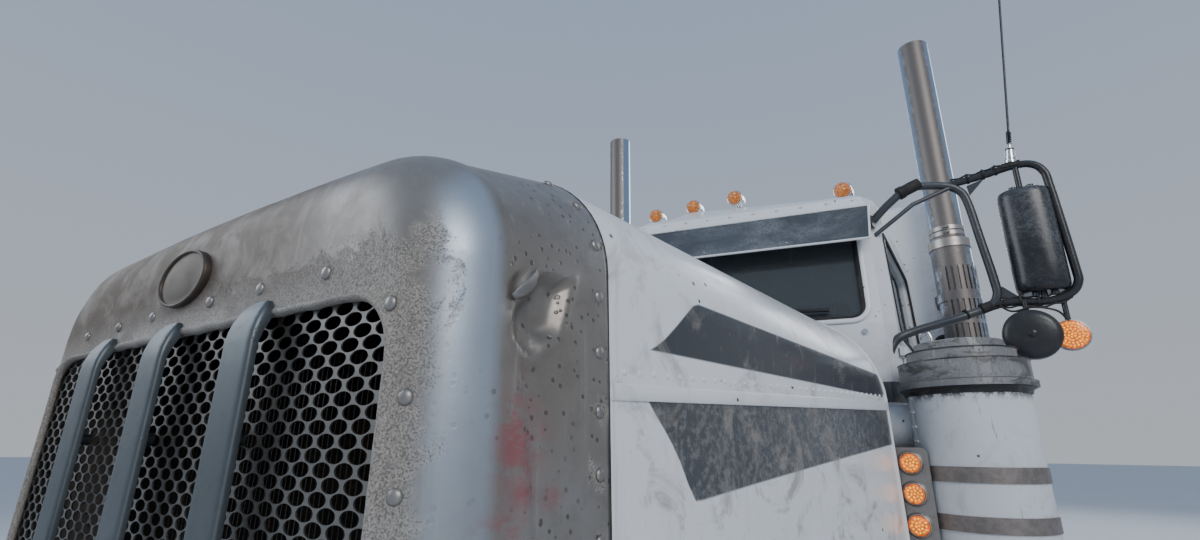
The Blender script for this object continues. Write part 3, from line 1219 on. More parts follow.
piece("windshield_moulding", white_trim, "root", plain_white, "white_paint", smooth=50)
piece("windshield_rubber", rubber_trim, "root", trim_rubber, "black_rubber", smooth=50)
piece("wipers", wipers, "root", mirror_black, "black_coat", smooth=40)
belt = []
for side in (1, -1):
    low, across, up, out = pane_axes(side)
    belt += [(low + across * far - up * 0.030, out) for far in (0.10, 0.26, 0.42, 0.58, 0.74, 0.87)]
rivets("cowl_bolts", belt, "root", lamp_chrome, radius=0.0075, height=0.0035, hexagon=True)
print("windshield trim ready")

# %% The visor's lips, stays and frosted finish
def frosted(name, tone, frost, share=0.55, metal=0.0, gloss=(0.3, 0.75)):
    """A dark sheet with dried salt and frost in clouds and fine specks."""
    f = Finish(name, Metallic=metal)
    drift = f.cloud(3.2, 7, 0.7, stretch=(1, 1, 1.8), twist=0.9)
    salt = f.cloud(120, 6, 0.8)
    film = f.times(f.band(drift, 0.38, 0.68), f.band(salt, 0.36, 0.60), share)
    spray = f.times(f.band(f.specks(260), 0.30, 0.12), f.band(drift, 0.30, 0.55), 0.8 * share)
    colour = f.mix(f.band(f.cloud(2.0, 3), 0.3, 0.7), tone, tuple(1.45 * c for c in tone))
    colour = f.mix(film, colour, frost)
    colour = f.mix(spray, colour, frost)
    f.put("Base Color", colour)
    f.put("Roughness", f.number(f.most(film, spray), *gloss))
    f.lumps(salt, 0.0008, 0.45)
    return f.material


visor_coat = frosted("visor_coat", (0.045, 0.052, 0.060), (0.33, 0.36, 0.39), share=0.50)
head_black = frosted("head_black", (0.012, 0.013, 0.016), (0.24, 0.26, 0.29), share=0.34, gloss=(0.22, 0.6))
coat(nodes["sun_visor"], visor_coat)
lips = Shape()
for high, back in ((2.243, -0.0075), (2.4085, 0.0830)):
    lips.tube([(-0.913, FACE + 1.79 + back, high), (0, FACE + 1.61 + back, high), (0.913, FACE + 1.79 + back, high)],
              0.0048 if high < 2.3 else 0.0036, 8)
for side in (1, -1):
    lips.tube([(side * 0.912, FACE + 1.7825, 2.243), (side * 0.912, FACE + 1.873, 2.4085)], 0.0042, 8)
    for x in (0.30, 0.62):
        y = FACE + 1.61 + 0.18 * x / 0.915
        lips.tube([(side * x, y + 0.004, 2.262), (side * x, y + 0.062, 2.30)], 0.005, 8)
piece("visor_lips", lips, "root", plain_white, "white_paint", smooth=50)
roof_spots = []
for x in np.arange(-0.86, 0.861, 0.0955):
    roof_spots.append((Vector((x, FACE + 1.709 + 0.196 * abs(x), 2.4475)), Vector((0.1 * x, -0.95, 0.3))))
for side in (1, -1):
    for place in np.arange(2.0, 2.96, 0.095):
        roof_spots.append((Vector((side * 0.9265, FACE + place, 2.443)), Vector((side, 0, 0.2))))
rivets("roof_rivets", roof_spots, "root", plain_white, radius=0.0065, height=0.0035)
print("visor and roof rivets ready:", len(roof_spots))

# %% [markdown]
# ## Roof lamps
# Five bullet lamps stand on the roof's front: a chrome shell with a pointed tail, a bezel ring and an
# amber lens moulded in facets. They are turned parts, so a row of distances and radii says it all. The
# lens gets ribs because its radius wanders a little from one side to the next.

# %% Turn the five bullet lamps
shells, lenses, feet = Shape(), Shape(), Shape()
for x, place, foot in ((0.0, 2.320, 2.704), (0.235, 2.325, 2.704), (-0.235, 2.325, 2.704), (0.780, 2.230, 2.571),
                       (-0.780, 2.230, 2.571)):
    axis_at = Vector((x, FACE + place, foot + 0.060))
    shells.turned(((-0.060, 0.003), (-0.0585, 0.012), (-0.052, 0.023), (-0.038, 0.033), (-0.015, 0.0395),
                   (0.012, 0.0412),
                   (0.030, 0.0412), (0.032, 0.0418), (0.0405, 0.0418), (0.0425, 0.0400), (0.0425, 0.0378)), axis_at,
                   (0, -1, 0), 32)
    rows = []
    for far, wide in ((0.040, 0.0372), (0.047, 0.0372), (0.056, 0.0350), (0.064, 0.0305), (0.071, 0.0235),
                      (0.0765, 0.0140), (0.0788, 0.0045)):
        rows.append([axis_at + Vector(((wide - 0.0016 * (k % 2)) * math.cos(math.tau * k / 40), -far,
                                       (wide - 0.0016 * (k % 2)) * math.sin(math.tau * k / 40))) for k in range(40)])
    lenses.grid(rows, closed=True)
    lenses.add(rows[-1], [tuple(range(40))])
    feet.turned(((0.0, 0.026), (0.010, 0.024), (0.020, 0.014), (0.030, 0.013)),
                axis_at + Vector((0, 0.012, -0.064)), (0, 0, 1), 20)
shell_piece = piece("roof_lamp_shells", shells, "root", lamp_chrome, "bright_metal", smooth=60)
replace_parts(shell_piece, "roof_lights")
lens_piece = piece("roof_lamp_lenses", lenses, "root", amber_dim, "amber_lens", smooth=18)
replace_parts(lens_piece, "roof_lights")
foot_piece = piece("roof_lamp_feet", feet, "root", lamp_chrome, "bright_metal", smooth=50)
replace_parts(foot_piece, "roof_lights")
print("roof lamps ready")

# %% [markdown]
# ## Doors
# The doors need a rubber round each window, a chrome handle in a black cup, a small hinge cover and a
# key cylinder. These ride on the doors, so they swing with them. The grab rail behind each door stays
# on the cab, clear of the door's swing.

# %% Door rubbers, handles and grab rails
for side, word in ((1, "left"), (-1, "right")):
    rubber_frame = Shape()
    low_x = 0.9502
    up = Vector((-0.036, 0, 1)).normalized()
    middle = Vector((low_x - 0.036 * (2.1075 - 1.925), FACE + 2.371, 2.1075))
    framed(rubber_frame, middle, (0, 1, 0), up, 0.414, 0.2075, 0.05,
           ((-0.004, -0.006), (-0.004, 0.002), (0.002, 0.0045), (0.010, 0.0042), (0.013, 0.001), (0.013, -0.003)))
    handle = Shape()
    handle.turned(((0.0, 0.026), (0.0035, 0.026), (0.0045, 0.020), (0.0045, 0.002)), (0.9502, FACE + 2.745, 1.560),
                  (1, 0, 0), 24)
    handle.slab((0.9500, FACE + 2.640, 1.540), (0.9540, FACE + 2.800, 1.600))
    grip = Shape()
    grip.tube(curve_points([(0.952, FACE + 2.655, 1.582), (0.974, FACE + 2.668, 1.584), (0.980, FACE + 2.720, 1.584),
                            (0.974, FACE + 2.775, 1.582), (0.953, FACE + 2.788, 1.580)], 5), 0.0085, 10)
    grip.turned(((0.0, 0.011), (0.006, 0.011), (0.008, 0.008)), (0.9502, FACE + 2.720, 1.500), (1, 0, 0), 16)
    step = Shape()
    step.tube(curve_points([(0.951, FACE + 2.925, 1.35), (0.992, FACE + 2.925, 1.37), (0.996, FACE + 2.925, 1.70),
                            (0.994, FACE + 2.925, 2.04), (0.948, FACE + 2.925, 2.06)], 5), 0.012, 12)
    for z in (1.35, 2.06):
        step.turned(((-0.002, 0.026), (0.005, 0.025), (0.008, 0.016)), (0.9495 if z < 1.5 else 0.9455, FACE + 2.925,
                                                                        z), (1, 0, 0), 18)
    if side < 0:
        for shape in (rubber_frame, handle, grip, step):
            shape.points = [Vector((-p.x, p.y, p.z)) for p in shape.points]
    door = "door_" + word
    piece("window_rubber_" + word, rubber_frame, door, trim_rubber, "black_rubber", smooth=50)
    piece("handle_cup_" + word, handle, door, cabin_plastic, "dark_plastic", bevel=0.0015)
    piece("door_handle_" + word, grip, door, lamp_chrome, "bright_metal", smooth=50)
    piece("grab_rail_" + word, step, "root", lamp_chrome, "bright_metal", smooth=50)
door_spots = []
for z in np.arange(1.20, 1.88, 0.085):
    door_spots.append((Vector((0.9502, FACE + 2.838, z)), Vector((1, 0, 0))))
rivets("door_rivets_left", door_spots, "door_left", plain_white, radius=0.006, height=0.003)
rivets("door_rivets_right", other_side(door_spots), "door_right", plain_white, radius=0.006,
       height=0.003)
print("door trim ready")

# %% [markdown]
# ## Mirrors, antenna and their cables
# Bent tubes carry a tall mirror, a round one and an amber lamp of many small bulbs. In the photograph a
# rubber sleeve sits on the upper arm, small gussets brace the joints, and two cables run along the
# tubes under ties. The cables are tied down all along, so they are plain pieces rather than free cords.

# %% Sleeves, gussets, ties, mirror glass and the antenna's fittings
def along_path(path, share):
    """The point and direction at a share of a path's length."""
    path = [Vector(p) for p in path]
    legs = [(b - a).length for a, b in zip(path, path[1:])]
    far = share * sum(legs)
    for a, b, leg in zip(path, path[1:], legs):
        if far <= leg:
            return a.lerp(b, far / leg), (b - a).normalized()
        far -= leg
    return path[-1], (path[-1] - path[-2]).normalized()


mirror_y = FACE + 2.0
loop_arm = curve_points([(0.908, FACE + 1.822, 1.735), (0.914, FACE + 1.826, 1.800), (0.935, FACE + 1.838, 1.856),
                         (0.985, FACE + 1.860, 1.890),
                         (1.150, FACE + 1.970, 1.950), (1.238, FACE + 1.998, 1.984), (1.268, mirror_y, 2.020),
                         (1.268, mirror_y, 2.080),
                         (1.252, mirror_y, 2.240), (1.236, mirror_y, 2.390), (1.214, FACE + 1.997, 2.444),
                         (1.160, FACE + 1.975, 2.468),
                         (1.060, FACE + 1.920, 2.460), (0.985, FACE + 1.903, 2.410), (0.885, FACE + 1.900, 2.318)], 7)
low_arm = [(1.262, mirror_y, 1.992), (1.150, mirror_y - 0.030, 1.950), (0.975, mirror_y - 0.145, 1.885),
           (0.914, FACE + 1.824, 1.80)]
outer_arm = curve_points([(1.190, FACE + 1.992, 2.470), (1.290, mirror_y, 2.482), (1.395, mirror_y, 2.497),
                          (1.448, mirror_y, 2.490),
                          (1.478, mirror_y, 2.455), (1.486, mirror_y, 2.390), (1.4985, mirror_y, 2.100),
                          (1.496, mirror_y, 2.035),
                          (1.465, mirror_y, 1.998), (1.400, mirror_y, 1.982), (1.320, mirror_y, 1.990),
                          (1.240, mirror_y, 1.990)], 7)
arms_grey, arms_black = Shape(), Shape()
arms_grey.tube(loop_arm, 0.0150, 14)
arms_black.tube(outer_arm, 0.0135, 14)
arms_grey.tube([(0.885, FACE + 1.890, 2.262), (1.060, FACE + 1.915, 2.390), (1.190, FACE + 1.985, 2.456)], 0.0085, 10)
for x, z0, z1 in ((1.400, 1.985, 2.020), (1.400, 2.392, 2.492)):
    arms_black.tube([(x, mirror_y, z0), (x, mirror_y, z1)], 0.0100, 12)
for x, low_z, top_z, y in ((1.340, 1.900, 1.990, -0.012), (1.447, 1.900, 1.998, 0.006)):
    arms_black.tube([(x, mirror_y + y, low_z), (x, mirror_y + y, top_z)], 0.0085, 10)
arms_black.turned(((-0.041, 0.020), (-0.036, 0.0300), (-0.020, 0.0300), (-0.006, 0.018)),
                  (1.340, mirror_y - 0.002, 1.868), (0, 1, 0), 20)
heads = Shape()
rows = []
for z, share in ((2.0150, 0.70), (2.0165, 0.84), (2.022, 0.93), (2.034, 0.985), (2.05, 1.0), (2.12, 1.01),
                 (2.207, 1.015), (2.29, 1.01),
                 (2.364, 1.0), (2.380, 0.985), (2.391, 0.93), (2.3970, 0.84), (2.3990, 0.70)):
    ring = []
    for k in range(24):
        a = math.pi * k / 23
        ring.append(Vector((1.404 + 0.0775 * share * math.cos(a),
                            FACE + 2.012 - 0.062 * (share ** 1.5) * math.sin(a) ** 0.72, z)))
    for x, y in ((-1.0, 0.030), (-0.96, 0.040), (-0.88, 0.0425), (0.88, 0.0425), (0.96, 0.040), (1.0, 0.030)):
        ring.append(Vector((1.404 + 0.0775 * share * x, FACE + 2.012 + y * (0.5 + 0.5 * share), z)))
    rows.append(ring)
heads.grid(rows, closed=True)
heads.add(rows[0], [tuple(range(30))])
heads.add(rows[-1], [tuple(range(30))])
discs_back = Shape()
discs_back.turned(((-0.020, 0.078), (-0.017, 0.0835), (0.012, 0.0838), (0.014, 0.078)), (1.340, FACE + 1.978, 1.868),
                  (0, 1, 0), 40)
discs_back.turned(((-0.016, 0.040), (-0.014, 0.0485), (0.014, 0.0495), (0.016, 0.046)), (1.447, FACE + 2.018, 1.862),
                  (0, 1, 0), 36)
for shape in (arms_grey, arms_black, heads, discs_back):
    shape.mirrored()
for name, shape, finish, slot_name in (("mirror_arms_inner", arms_grey, tube_black, "black_coat"),
                                       ("mirror_arms_outer", arms_black, mirror_black, "black_coat"),
                                       ("mirror_heads", heads, head_black, "black_coat"),
                                       ("mirror_discs", discs_back, mirror_black, "black_coat")):
    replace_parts(piece(name, shape, "root", finish, slot_name, smooth=55), "mirrors")
sleeve, ties, brackets, faces, cables = Shape(), Shape(), Shape(), Shape(), Shape()
spot, way = along_path(loop_arm, 0.845)
sleeve.turned(((-0.052, 0.016), (-0.050, 0.0215), (-0.02, 0.0228), (0.012, 0.0222), (0.016, 0.0250), (0.034, 0.0250),
               (0.037, 0.016)), spot, way, 20)
spot, way = along_path(low_arm, 0.08)
sleeve.turned(((-0.018, 0.0145), (-0.016, 0.018), (0.016, 0.018), (0.018, 0.0145)), spot, way, 18)
for path, shares in ((outer_arm, (0.06, 0.11, 0.15, 0.86, 0.91, 0.955)), (loop_arm, (0.30, 0.34))):
    for share in shares:
        spot, way = along_path(path, share)
        ties.turned(((-0.003, 0.0148), (-0.003, 0.0185), (0.003, 0.0185), (0.003, 0.0148)),
                    spot + Vector((0, 0, 0.003)), way, 16)
        ties.slab(spot + Vector((-0.003, -0.012, 0.016)), spot + Vector((0.003, -0.002, 0.022)))
for knot, lean in (((1.223, mirror_y, 2.466), -1), ((1.262, mirror_y, 2.000), 1)):
    knot = Vector(knot)
    brackets.plate([knot + Vector((0.020, -0.003, 0.012 * lean)), knot + Vector((0.078, -0.003, 0.018 * -lean * 0.2)),
                    knot + Vector((0.024, -0.003, 0.052 * lean))], (0, 0.006, 0))
eye = Vector((0.886, FACE + 1.893, 2.262))
brackets.turned(((-0.004, 0.020), (0.004, 0.020)), eye + Vector((0.014, -0.004, 0.004)), (0.3, -1, 0.1), 16)
brackets.turned(((0.0, 0.028), (0.006, 0.027)), Vector((0.915, FACE + 1.873, 2.335)), (1, -0.2, 0.1), 20)
for x in (1.378, 1.430):
    brackets.turned(((0.0, 0.0115), (0.012, 0.0115), (0.013, 0.006)), (x, mirror_y - 0.002, 2.399), (0, 0, 1), 14)
    brackets.turned(((0.0, 0.0115), (0.012, 0.0115), (0.013, 0.006)), (x, mirror_y - 0.002, 2.002), (0, 0, 1), 14)
faces.plate([Vector((1.404 + x, FACE + 2.0553, 2.207 + z)) for x, z in round_box(0.060, 0.178, 0.020, 5)],
            (0, 0.0015, 0))
faces.turned(((0.0, 0.078), (0.002, 0.077), (0.006, 0.060), (0.0085, 0.030), (0.009, 0.006)),
             (1.340, FACE + 1.992, 1.868), (0, 1, 0), 36)
backs = Shape()
backs.turned(((0.0, 0.082), (0.004, 0.080), (0.010, 0.062), (0.014, 0.030), (0.015, 0.004)),
             (1.340, FACE + 1.960, 1.868), (0, -1, 0), 36)
backs.turned(((0.012, 0.012), (0.020, 0.012), (0.022, 0.008)), (1.340, FACE + 1.960, 1.868), (0, -1, 0), 6)
for path, lift in ((outer_arm[:18], 0.0165), (outer_arm[-24:], -0.0165), (outer_arm[-24:], 0.016)):
    run = [along_path(path, s)[0] + Vector((0, -0.004 + 0.003 * math.sin(19 * s), lift + 0.0022 * math.sin(31 * s)))
           for s in np.linspace(0.02, 0.98, 36)]
    cables.tube(run, 0.0034, 7)
cables.tube(curve_points([(1.262, mirror_y - 0.004, 1.990), (1.30, mirror_y - 0.018, 1.955),
                          (1.36, mirror_y - 0.02, 1.962),
                          (1.42, mirror_y - 0.012, 1.945), (1.447, mirror_y + 0.012, 1.916)], 8), 0.0036, 7)
for shape in (sleeve, ties, brackets, faces, backs, cables):
    shape.mirrored()
piece("mirror_sleeves", sleeve, "root", trim_rubber, "black_rubber", smooth=40)
piece("mirror_ties", ties, "root", trim_rubber, "black_rubber", smooth=40)
piece("mirror_brackets", brackets, "root", tube_black, "black_coat", smooth=30)
piece("mirror_cables", cables, "root", trim_rubber, "black_rubber", smooth=60)
piece("mirror_backs", backs, "root", mirror_black, "black_coat", smooth=50)
mirror_glass = chrome("mirror_glass", tone=(0.80, 0.82, 0.84), share=0.06)
piece("mirror_faces", faces, "root", mirror_glass, "bright_metal", smooth=50)
lean = Vector((math.sin(math.radians(6.8)), 0, math.cos(math.radians(6.8))))
foot = Vector((1.391, mirror_y, 2.512))
mount = Shape()
mount.turned(((-0.004, 0.021), (0.004, 0.021), (0.005, 0.016), (0.012, 0.016), (0.013, 0.0185), (0.020, 0.0185),
              (0.021, 0.0155),
              (0.048, 0.0150), (0.054, 0.010), (0.056, 0.0062), (0.075, 0.0062), (0.078, 0.0045)), foot, lean, 24)
piece("antenna_fitting", mount, "root", lamp_chrome, "bright_metal", smooth=35)
spring = Shape()
turns = [foot + lean * (0.078 + 0.0007 * k) + Vector((0.0072 * math.cos(k * 0.62), 0.0072 * math.sin(k * 0.62), 0))
         for k in range(70)]
spring.tube(turns, 0.0017, 5)
spring.slab(foot + Vector((-0.030, -0.020, -0.020)), foot + Vector((0.022, 0.016, -0.006)))
piece("antenna_spring", spring, "root", trim_rubber, "black_rubber", smooth=60)
print("mirror details ready")

# %% [markdown]
# ## Lamps made of many small bulbs
# The amber lamps each show about twenty bright dots on a darker lens. A tree with small round heads
# already exists, so the dots are its seeds: rings of points around each lamp's middle, lit brighter than
# the lens behind them.

# %% Dots on the lamp bars and under the mirrors
def ring_dots(middle, rings, pitch):
    """Points in rings round a middle: 1, 6, 12, 18 and so on."""
    spots = [Vector(middle)]
    for ring in range(1, rings + 1):
        for k in range(6 * ring):
            a = math.tau * k / (6 * ring) + 0.26 * ring
            spots.append(Vector(middle) + Vector((ring * pitch * math.cos(a), 0, ring * pitch * math.sin(a))))
    return spots


discs, rims, dot_spots = Shape(), Shape(), []
for side in (1, -1):
    for step in range(6):
        middle = (side * 0.956, FACE + 1.579, 1.456 - 0.0856 * step)
        discs.turned(((0.0, 0.0268), (0.003, 0.0262), (0.0045, 0.0215), (0.0050, 0.004)), middle, (0, -1, 0), 28)
        rims.turned(((-0.009, 0.0300), (-0.009, 0.0355), (-0.005, 0.0358), (-0.003, 0.0330), (0.0015, 0.0315),
                     (0.0025, 0.0290),
                     (0.0005, 0.0270), (-0.009, 0.0268)), middle, (0, -1, 0), 28)
        dot_spots += [(p + Vector((0, -0.0048, 0)), Vector((0, -1, 0))) for p in ring_dots(middle, 2, 0.0093)]
    middle = (side * 1.447, FACE + 2.002, 1.862)
    discs.turned(((0.0, 0.0470), (0.004, 0.0460), (0.007, 0.0400), (0.008, 0.006)), middle, (0, -1, 0), 36)
    rims.turned(((-0.028, 0.0440), (-0.028, 0.0505), (-0.002, 0.0520), (0.003, 0.0505), (0.004, 0.0475),
                 (-0.001, 0.0465)), middle, (0, -1, 0), 36)
    dot_spots += [(p + Vector((0, -0.0078, 0)), Vector((0, -1, 0))) for p in ring_dots(middle, 4, 0.0096)]
piece("amber_discs", discs, "root", amber_lit, "amber_lens", smooth=40)
piece("lamp_rims", rims, "root", band_metal, "bare_aluminium", smooth=40)
rivets("amber_dots", dot_spots, "root", amber_dot, radius=0.0032, height=0.0024)
print("amber dots:", len(dot_spots))

# %% [markdown]
# ## Air cleaner fittings
# The canister, its stepped lid and its bands are one turned solid in the CAD, so the finish tells them
# apart by height. Added pieces are the chipped black gasket under the lid's flange, a riveted seam strip
# down the front, clamp bolts on the bands and the brackets that hold it to the cowl.

# %% Canister finish by height
def canister_finish():
    f = Finish("canister", Coat_Weight=0.1, Coat_Roughness=0.3)
    z = f.axes()[2]
    metal = f.band(z, 1.6712, 1.6722)
    bands = f.most(*(f.times(f.band(z, mid - 0.0215, mid - 0.0208), f.band(z, mid + 0.0215, mid + 0.0208))
                     for mid in (1.300, 1.428)))
    marble = f.cloud(7.5, 8, 0.72, twist=1.2)
    fine = f.cloud(42, 6, 0.7)
    white = f.mix(f.band(f.cloud(1.6, 3), 0.35, 0.7), (0.70, 0.73, 0.77), (0.62, 0.65, 0.69))
    white = f.mix(f.times(f.band(marble, 0.50, 0.70), 0.45), white, (0.42, 0.40, 0.38))
    under = f.times(f.band(z, 1.625, 1.655), f.band(f.cloud(26, 7, 0.75, stretch=(1, 1, 0.6)), 0.47, 0.52))
    chips = f.times(f.band(f.specks(30), 0.14, 0.10), f.band(f.cloud(6, 2), 0.50, 0.60))
    flake = f.most(f.times(under, 0.9), chips)
    white = f.mix(flake, white, (0.035, 0.032, 0.030))
    line = f.times(f.band(f.cloud(12, 4, 0.6, stretch=(14, 14, 1)), 0.66, 0.70), 0.6)
    white = f.mix(line, white, (0.16, 0.15, 0.14))
    stain = f.cloud(9, 8, 0.75, stretch=(1, 1, 2.2), twist=0.7)
    lid = f.mix(f.band(f.cloud(3.0, 4), 0.35, 0.65), (0.27, 0.27, 0.275), (0.38, 0.38, 0.39))
    lid = f.mix(f.times(f.band(stain, 0.50, 0.62), 0.75), lid, (0.085, 0.078, 0.07))
    strap = f.mix(f.band(fine, 0.4, 0.6), (0.22, 0.195, 0.18), (0.28, 0.25, 0.235))
    colour = f.mix(bands, f.mix(metal, white, lid), strap)
    f.put("Base Color", colour)
    f.put("Metallic", f.most(f.times(metal, 0.9), f.times(bands, 0.75)))
    f.put("Roughness", f.number(f.most(marble, flake, fine), 0.24, 0.62))
    f.lumps(f.math("SUBTRACT", fine, f.times(flake, 1.4)), 0.0014, 0.5)
    return f.material


coat(nodes["air_cleaners"], canister_finish())
gasket, clamps, strip, stays = Shape(), Shape(), Shape(), Shape()
hub_at = Vector((1.125, FACE + 1.72, 0))
gasket.turned(((1.6520, 0.1655), (1.6535, 0.1700), (1.6640, 0.1725), (1.6680, 0.1790), (1.6712, 0.1810),
               (1.6712, 0.1655)), hub_at, (0, 0, 1), 72)
for z in (1.7525, 1.7885, 1.6930):
    gasket.turned(((z - 0.002, 0.1500 if z > 1.76 else 0.178),
                   (z - 0.002, 0.1535 if z > 1.78 else (0.1795 if z > 1.7 else 0.1800)),
                   (z + 0.0005, 0.1530 if z > 1.78 else (0.1790 if z > 1.7 else 0.1795)),
                   (z + 0.0005, 0.1500 if z > 1.76 else 0.176)), hub_at, (0, 0, 1), 60)
for z in (1.300, 1.428):
    for turn in (62, 76):
        out, _ = spoke(math.radians(turn))
        clamps.turned(((-0.016, 0.010), (0.016, 0.010)), hub_at + out * 0.1745 + Vector((0, 0, z)), (0, 0, 1), 12)
    out, ahead = spoke(math.radians(69))
    clamps.tube([hub_at + out * 0.179 + ahead * -0.034 + Vector((0, 0, z)),
                 hub_at + out * 0.179 + ahead * 0.034 + Vector((0, 0, z))], 0.0045, 8)
for z0, z1 in ((1.022, 1.276), (1.324, 1.404), (1.452, 1.660)):
    rows = []
    for a in np.linspace(math.radians(-157), math.radians(-149), 6):
        rows.append([hub_at + spoke(a)[0] * r + Vector((0, 0, z))
                     for r, z in ((0.1645, z0), (0.1672, z0), (0.1672, z1), (0.1645, z1))])
    strip.grid(rows, closed=True)
seam_rivets = []
for z in list(np.arange(1.05, 1.27, 0.045)) + list(np.arange(1.475, 1.655, 0.043)) + [1.364]:
    for a in (math.radians(-155.5), math.radians(-150.5)):
        out, _ = spoke(a)
        seam_rivets.append((hub_at + out * 0.1672 + Vector((0, 0, z)), out))
seam_rivets += other_side(seam_rivets)
for z in (1.300, 1.428):
    stays.slab((0.935, FACE + 1.80, z - 0.018), (0.995, FACE + 1.806, z + 0.018))
for shape in (gasket, clamps, strip, stays):
    shape.mirrored()
chipped_black = painted_steel("chipped_black", tone=(0.012, 0.012, 0.012), dirt=(0.36, 0.35, 0.33), share=0.45,
                              rust=0.2)
piece("lid_gaskets", gasket, "root", chipped_black, "black_rubber", smooth=40)
piece("band_clamps", clamps, "root", band_metal, "bare_aluminium", smooth=40)
piece("canister_seams", strip, "root", plain_white, "white_paint", smooth=40)
piece("canister_stays", stays, "root", frame_paint, "chassis_paint", bevel=0.002)
rivets("canister_rivets", seam_rivets, "root", plain_white, radius=0.005, height=0.003)
print("air cleaner fittings ready")

# %% [markdown]
# ## Exhaust guards and fittings
# Round each muffler sits a guard with rows of long slots, open toward the cab. The slots are rows of
# bars between hoops here, which gives real gaps without cutting. A bolted clamp joins pipe and muffler,
# and a short stay runs to the sleeper.

# %% Muffler guards, clamps and stays
def sooty_chrome():
    """Chrome whose front is browned by soot, with a ragged edge, clean and blue toward the outside."""
    f = Finish("sooty_chrome", Metallic=1.0)
    z = f.axes()[2]
    out, ahead, _ = f.facing()
    ragged = f.times(f.math("SUBTRACT", f.cloud(16, 7, 0.75), 0.5), 1.6)
    side = f.math("ABSOLUTE", out)
    front = f.band(f.math("ADD", f.math("MULTIPLY", ahead, -1.0), ragged), 0.30, 0.72)
    centre = f.times(front, f.band(f.math("ADD", side, f.times(ragged, 0.6)), 0.86, 0.62))
    low = f.band(z, 2.95, 2.55)
    film = f.most(f.times(centre, 0.85), f.times(low, f.band(f.cloud(5, 6, 0.7), 0.40, 0.56), 0.8))
    colour = f.mix(f.band(side, 0.55, 0.95), (0.52, 0.50, 0.49), (0.34, 0.44, 0.58))
    colour = f.mix(film, colour, (0.115, 0.098, 0.088))
    dried = f.times(f.band(f.cloud(70, 5, 0.8), 0.55, 0.64), f.number(low, 0.15, 0.6))
    colour = f.mix(dried, colour, (0.30, 0.28, 0.26))
    f.put("Base Color", colour)
    f.put("Metallic", f.number(film, 1.0, 0.55))
    f.put("Roughness", f.number(f.most(film, dried), 0.12, 0.52))
    f.lumps(f.cloud(3.0, 2), 0.002, 0.25)
    return f.material


sooty = sooty_chrome()
coat(nodes["exhaust_stacks"], sooty)
stack_at = Vector((1.145, FACE + 3.387, 0))
guard, fittings = Shape(), Shape()
for z0 in np.arange(1.34, 2.52, 0.17):
    for a in np.linspace(math.radians(-115), math.radians(115), 17):
        out, ahead = spoke(a)
        guard.plate([stack_at + out * r + ahead * s + Vector((0, 0, z0)) for r, s in
                     ((0.1085, -0.0085), (0.1105, -0.0085), (0.1105, 0.0085), (0.1085, 0.0085))], (0, 0, 0.148))
    rows = []
    for a in np.linspace(math.radians(-120), math.radians(120), 34):
        out, _ = spoke(a)
        rows.append([stack_at + out * r + Vector((0, 0, z0 + dz))
                     for r, dz in ((0.1083, -0.024), (0.1108, -0.024), (0.1108, 0.002), (0.1083, 0.002))])
    guard.grid(rows, closed=True)
for z, radius in ((2.655, 0.1045), (1.205, 0.1045)):
    fittings.turned(((z - 0.03, radius), (z - 0.03, radius + 0.005), (z + 0.02, radius + 0.005), (z + 0.02, radius)),
                    stack_at, (0, 0, 1), 40)
for z, radius in ((2.712, 0.0885), (2.745, 0.0885)):
    fittings.turned(((z - 0.012, radius), (z - 0.012, radius + 0.004), (z + 0.012, radius + 0.004),
                     (z + 0.012, radius)), stack_at, (0, 0, 1), 40)
    fittings.turned(((-0.018, 0.006), (0.018, 0.006)), stack_at + Vector((0.0, -0.098, z)), (1, 0, 0), 6)
guard.mirrored()
fittings.mirrored()
piece("muffler_guards", guard, "root", sooty, "bright_metal", smooth=35)
piece("stack_fittings", fittings, "root", band_metal, "bare_aluminium", smooth=40)
print("guards ready")

# %% [markdown]
# ## Sleeper
# The sleeper is a riveted box. It gets seam beads, rows of rivets, a luggage door and a small window on
# each side with rubber round them, a roof vent and marker lamps. On the front wall beside the
# cab the photograph shows a dark oval opening, which becomes a rubber grommet with a hose end.

# %% Sleeper trim
seams, windows, panes_side, doors_trim, markers = Shape(), Shape(), Shape(), Shape(), Shape()
sleeper_spots = []
y0, y1 = FACE + 3.53, FACE + 5.13
for side in (1, -1):
    for place in (3.66, 5.00):
        seams.tube([(side * 1.1302, FACE + place, 1.10), (side * 1.1302, FACE + place, 2.94)], 0.004, 6)
        for z in np.arange(1.14, 2.92, 0.078):
            sleeper_spots.append((Vector((side * 1.1302, FACE + place + (0.03 if place < 4 else -0.03), z)),
                                  Vector((side, 0, 0))))
    for z in (1.10, 2.90):
        for place in np.arange(3.72, 4.98, 0.09):
            sleeper_spots.append((Vector((side * 1.1302, FACE + place, z)), Vector((side, 0, 0))))
for x in np.arange(-1.0, 1.01, 0.1):
    for z in (1.12, 2.93):
        sleeper_spots.append((Vector((x, y1 + 0.0002, z)), Vector((0, 1, 0))))
        if abs(x) > 0.95:
            sleeper_spots.append((Vector((x, y0 - 0.0002, z)), Vector((0, -1, 0))))
for side in (1, -1):
    for z in np.arange(1.16, 2.92, 0.085):
        sleeper_spots.append((Vector((side * 1.015, y0 - 0.0002, z)), Vector((0, -1, 0))))
rivets("sleeper_rivets", sleeper_spots, "root", plain_white, radius=0.0062, height=0.0034)
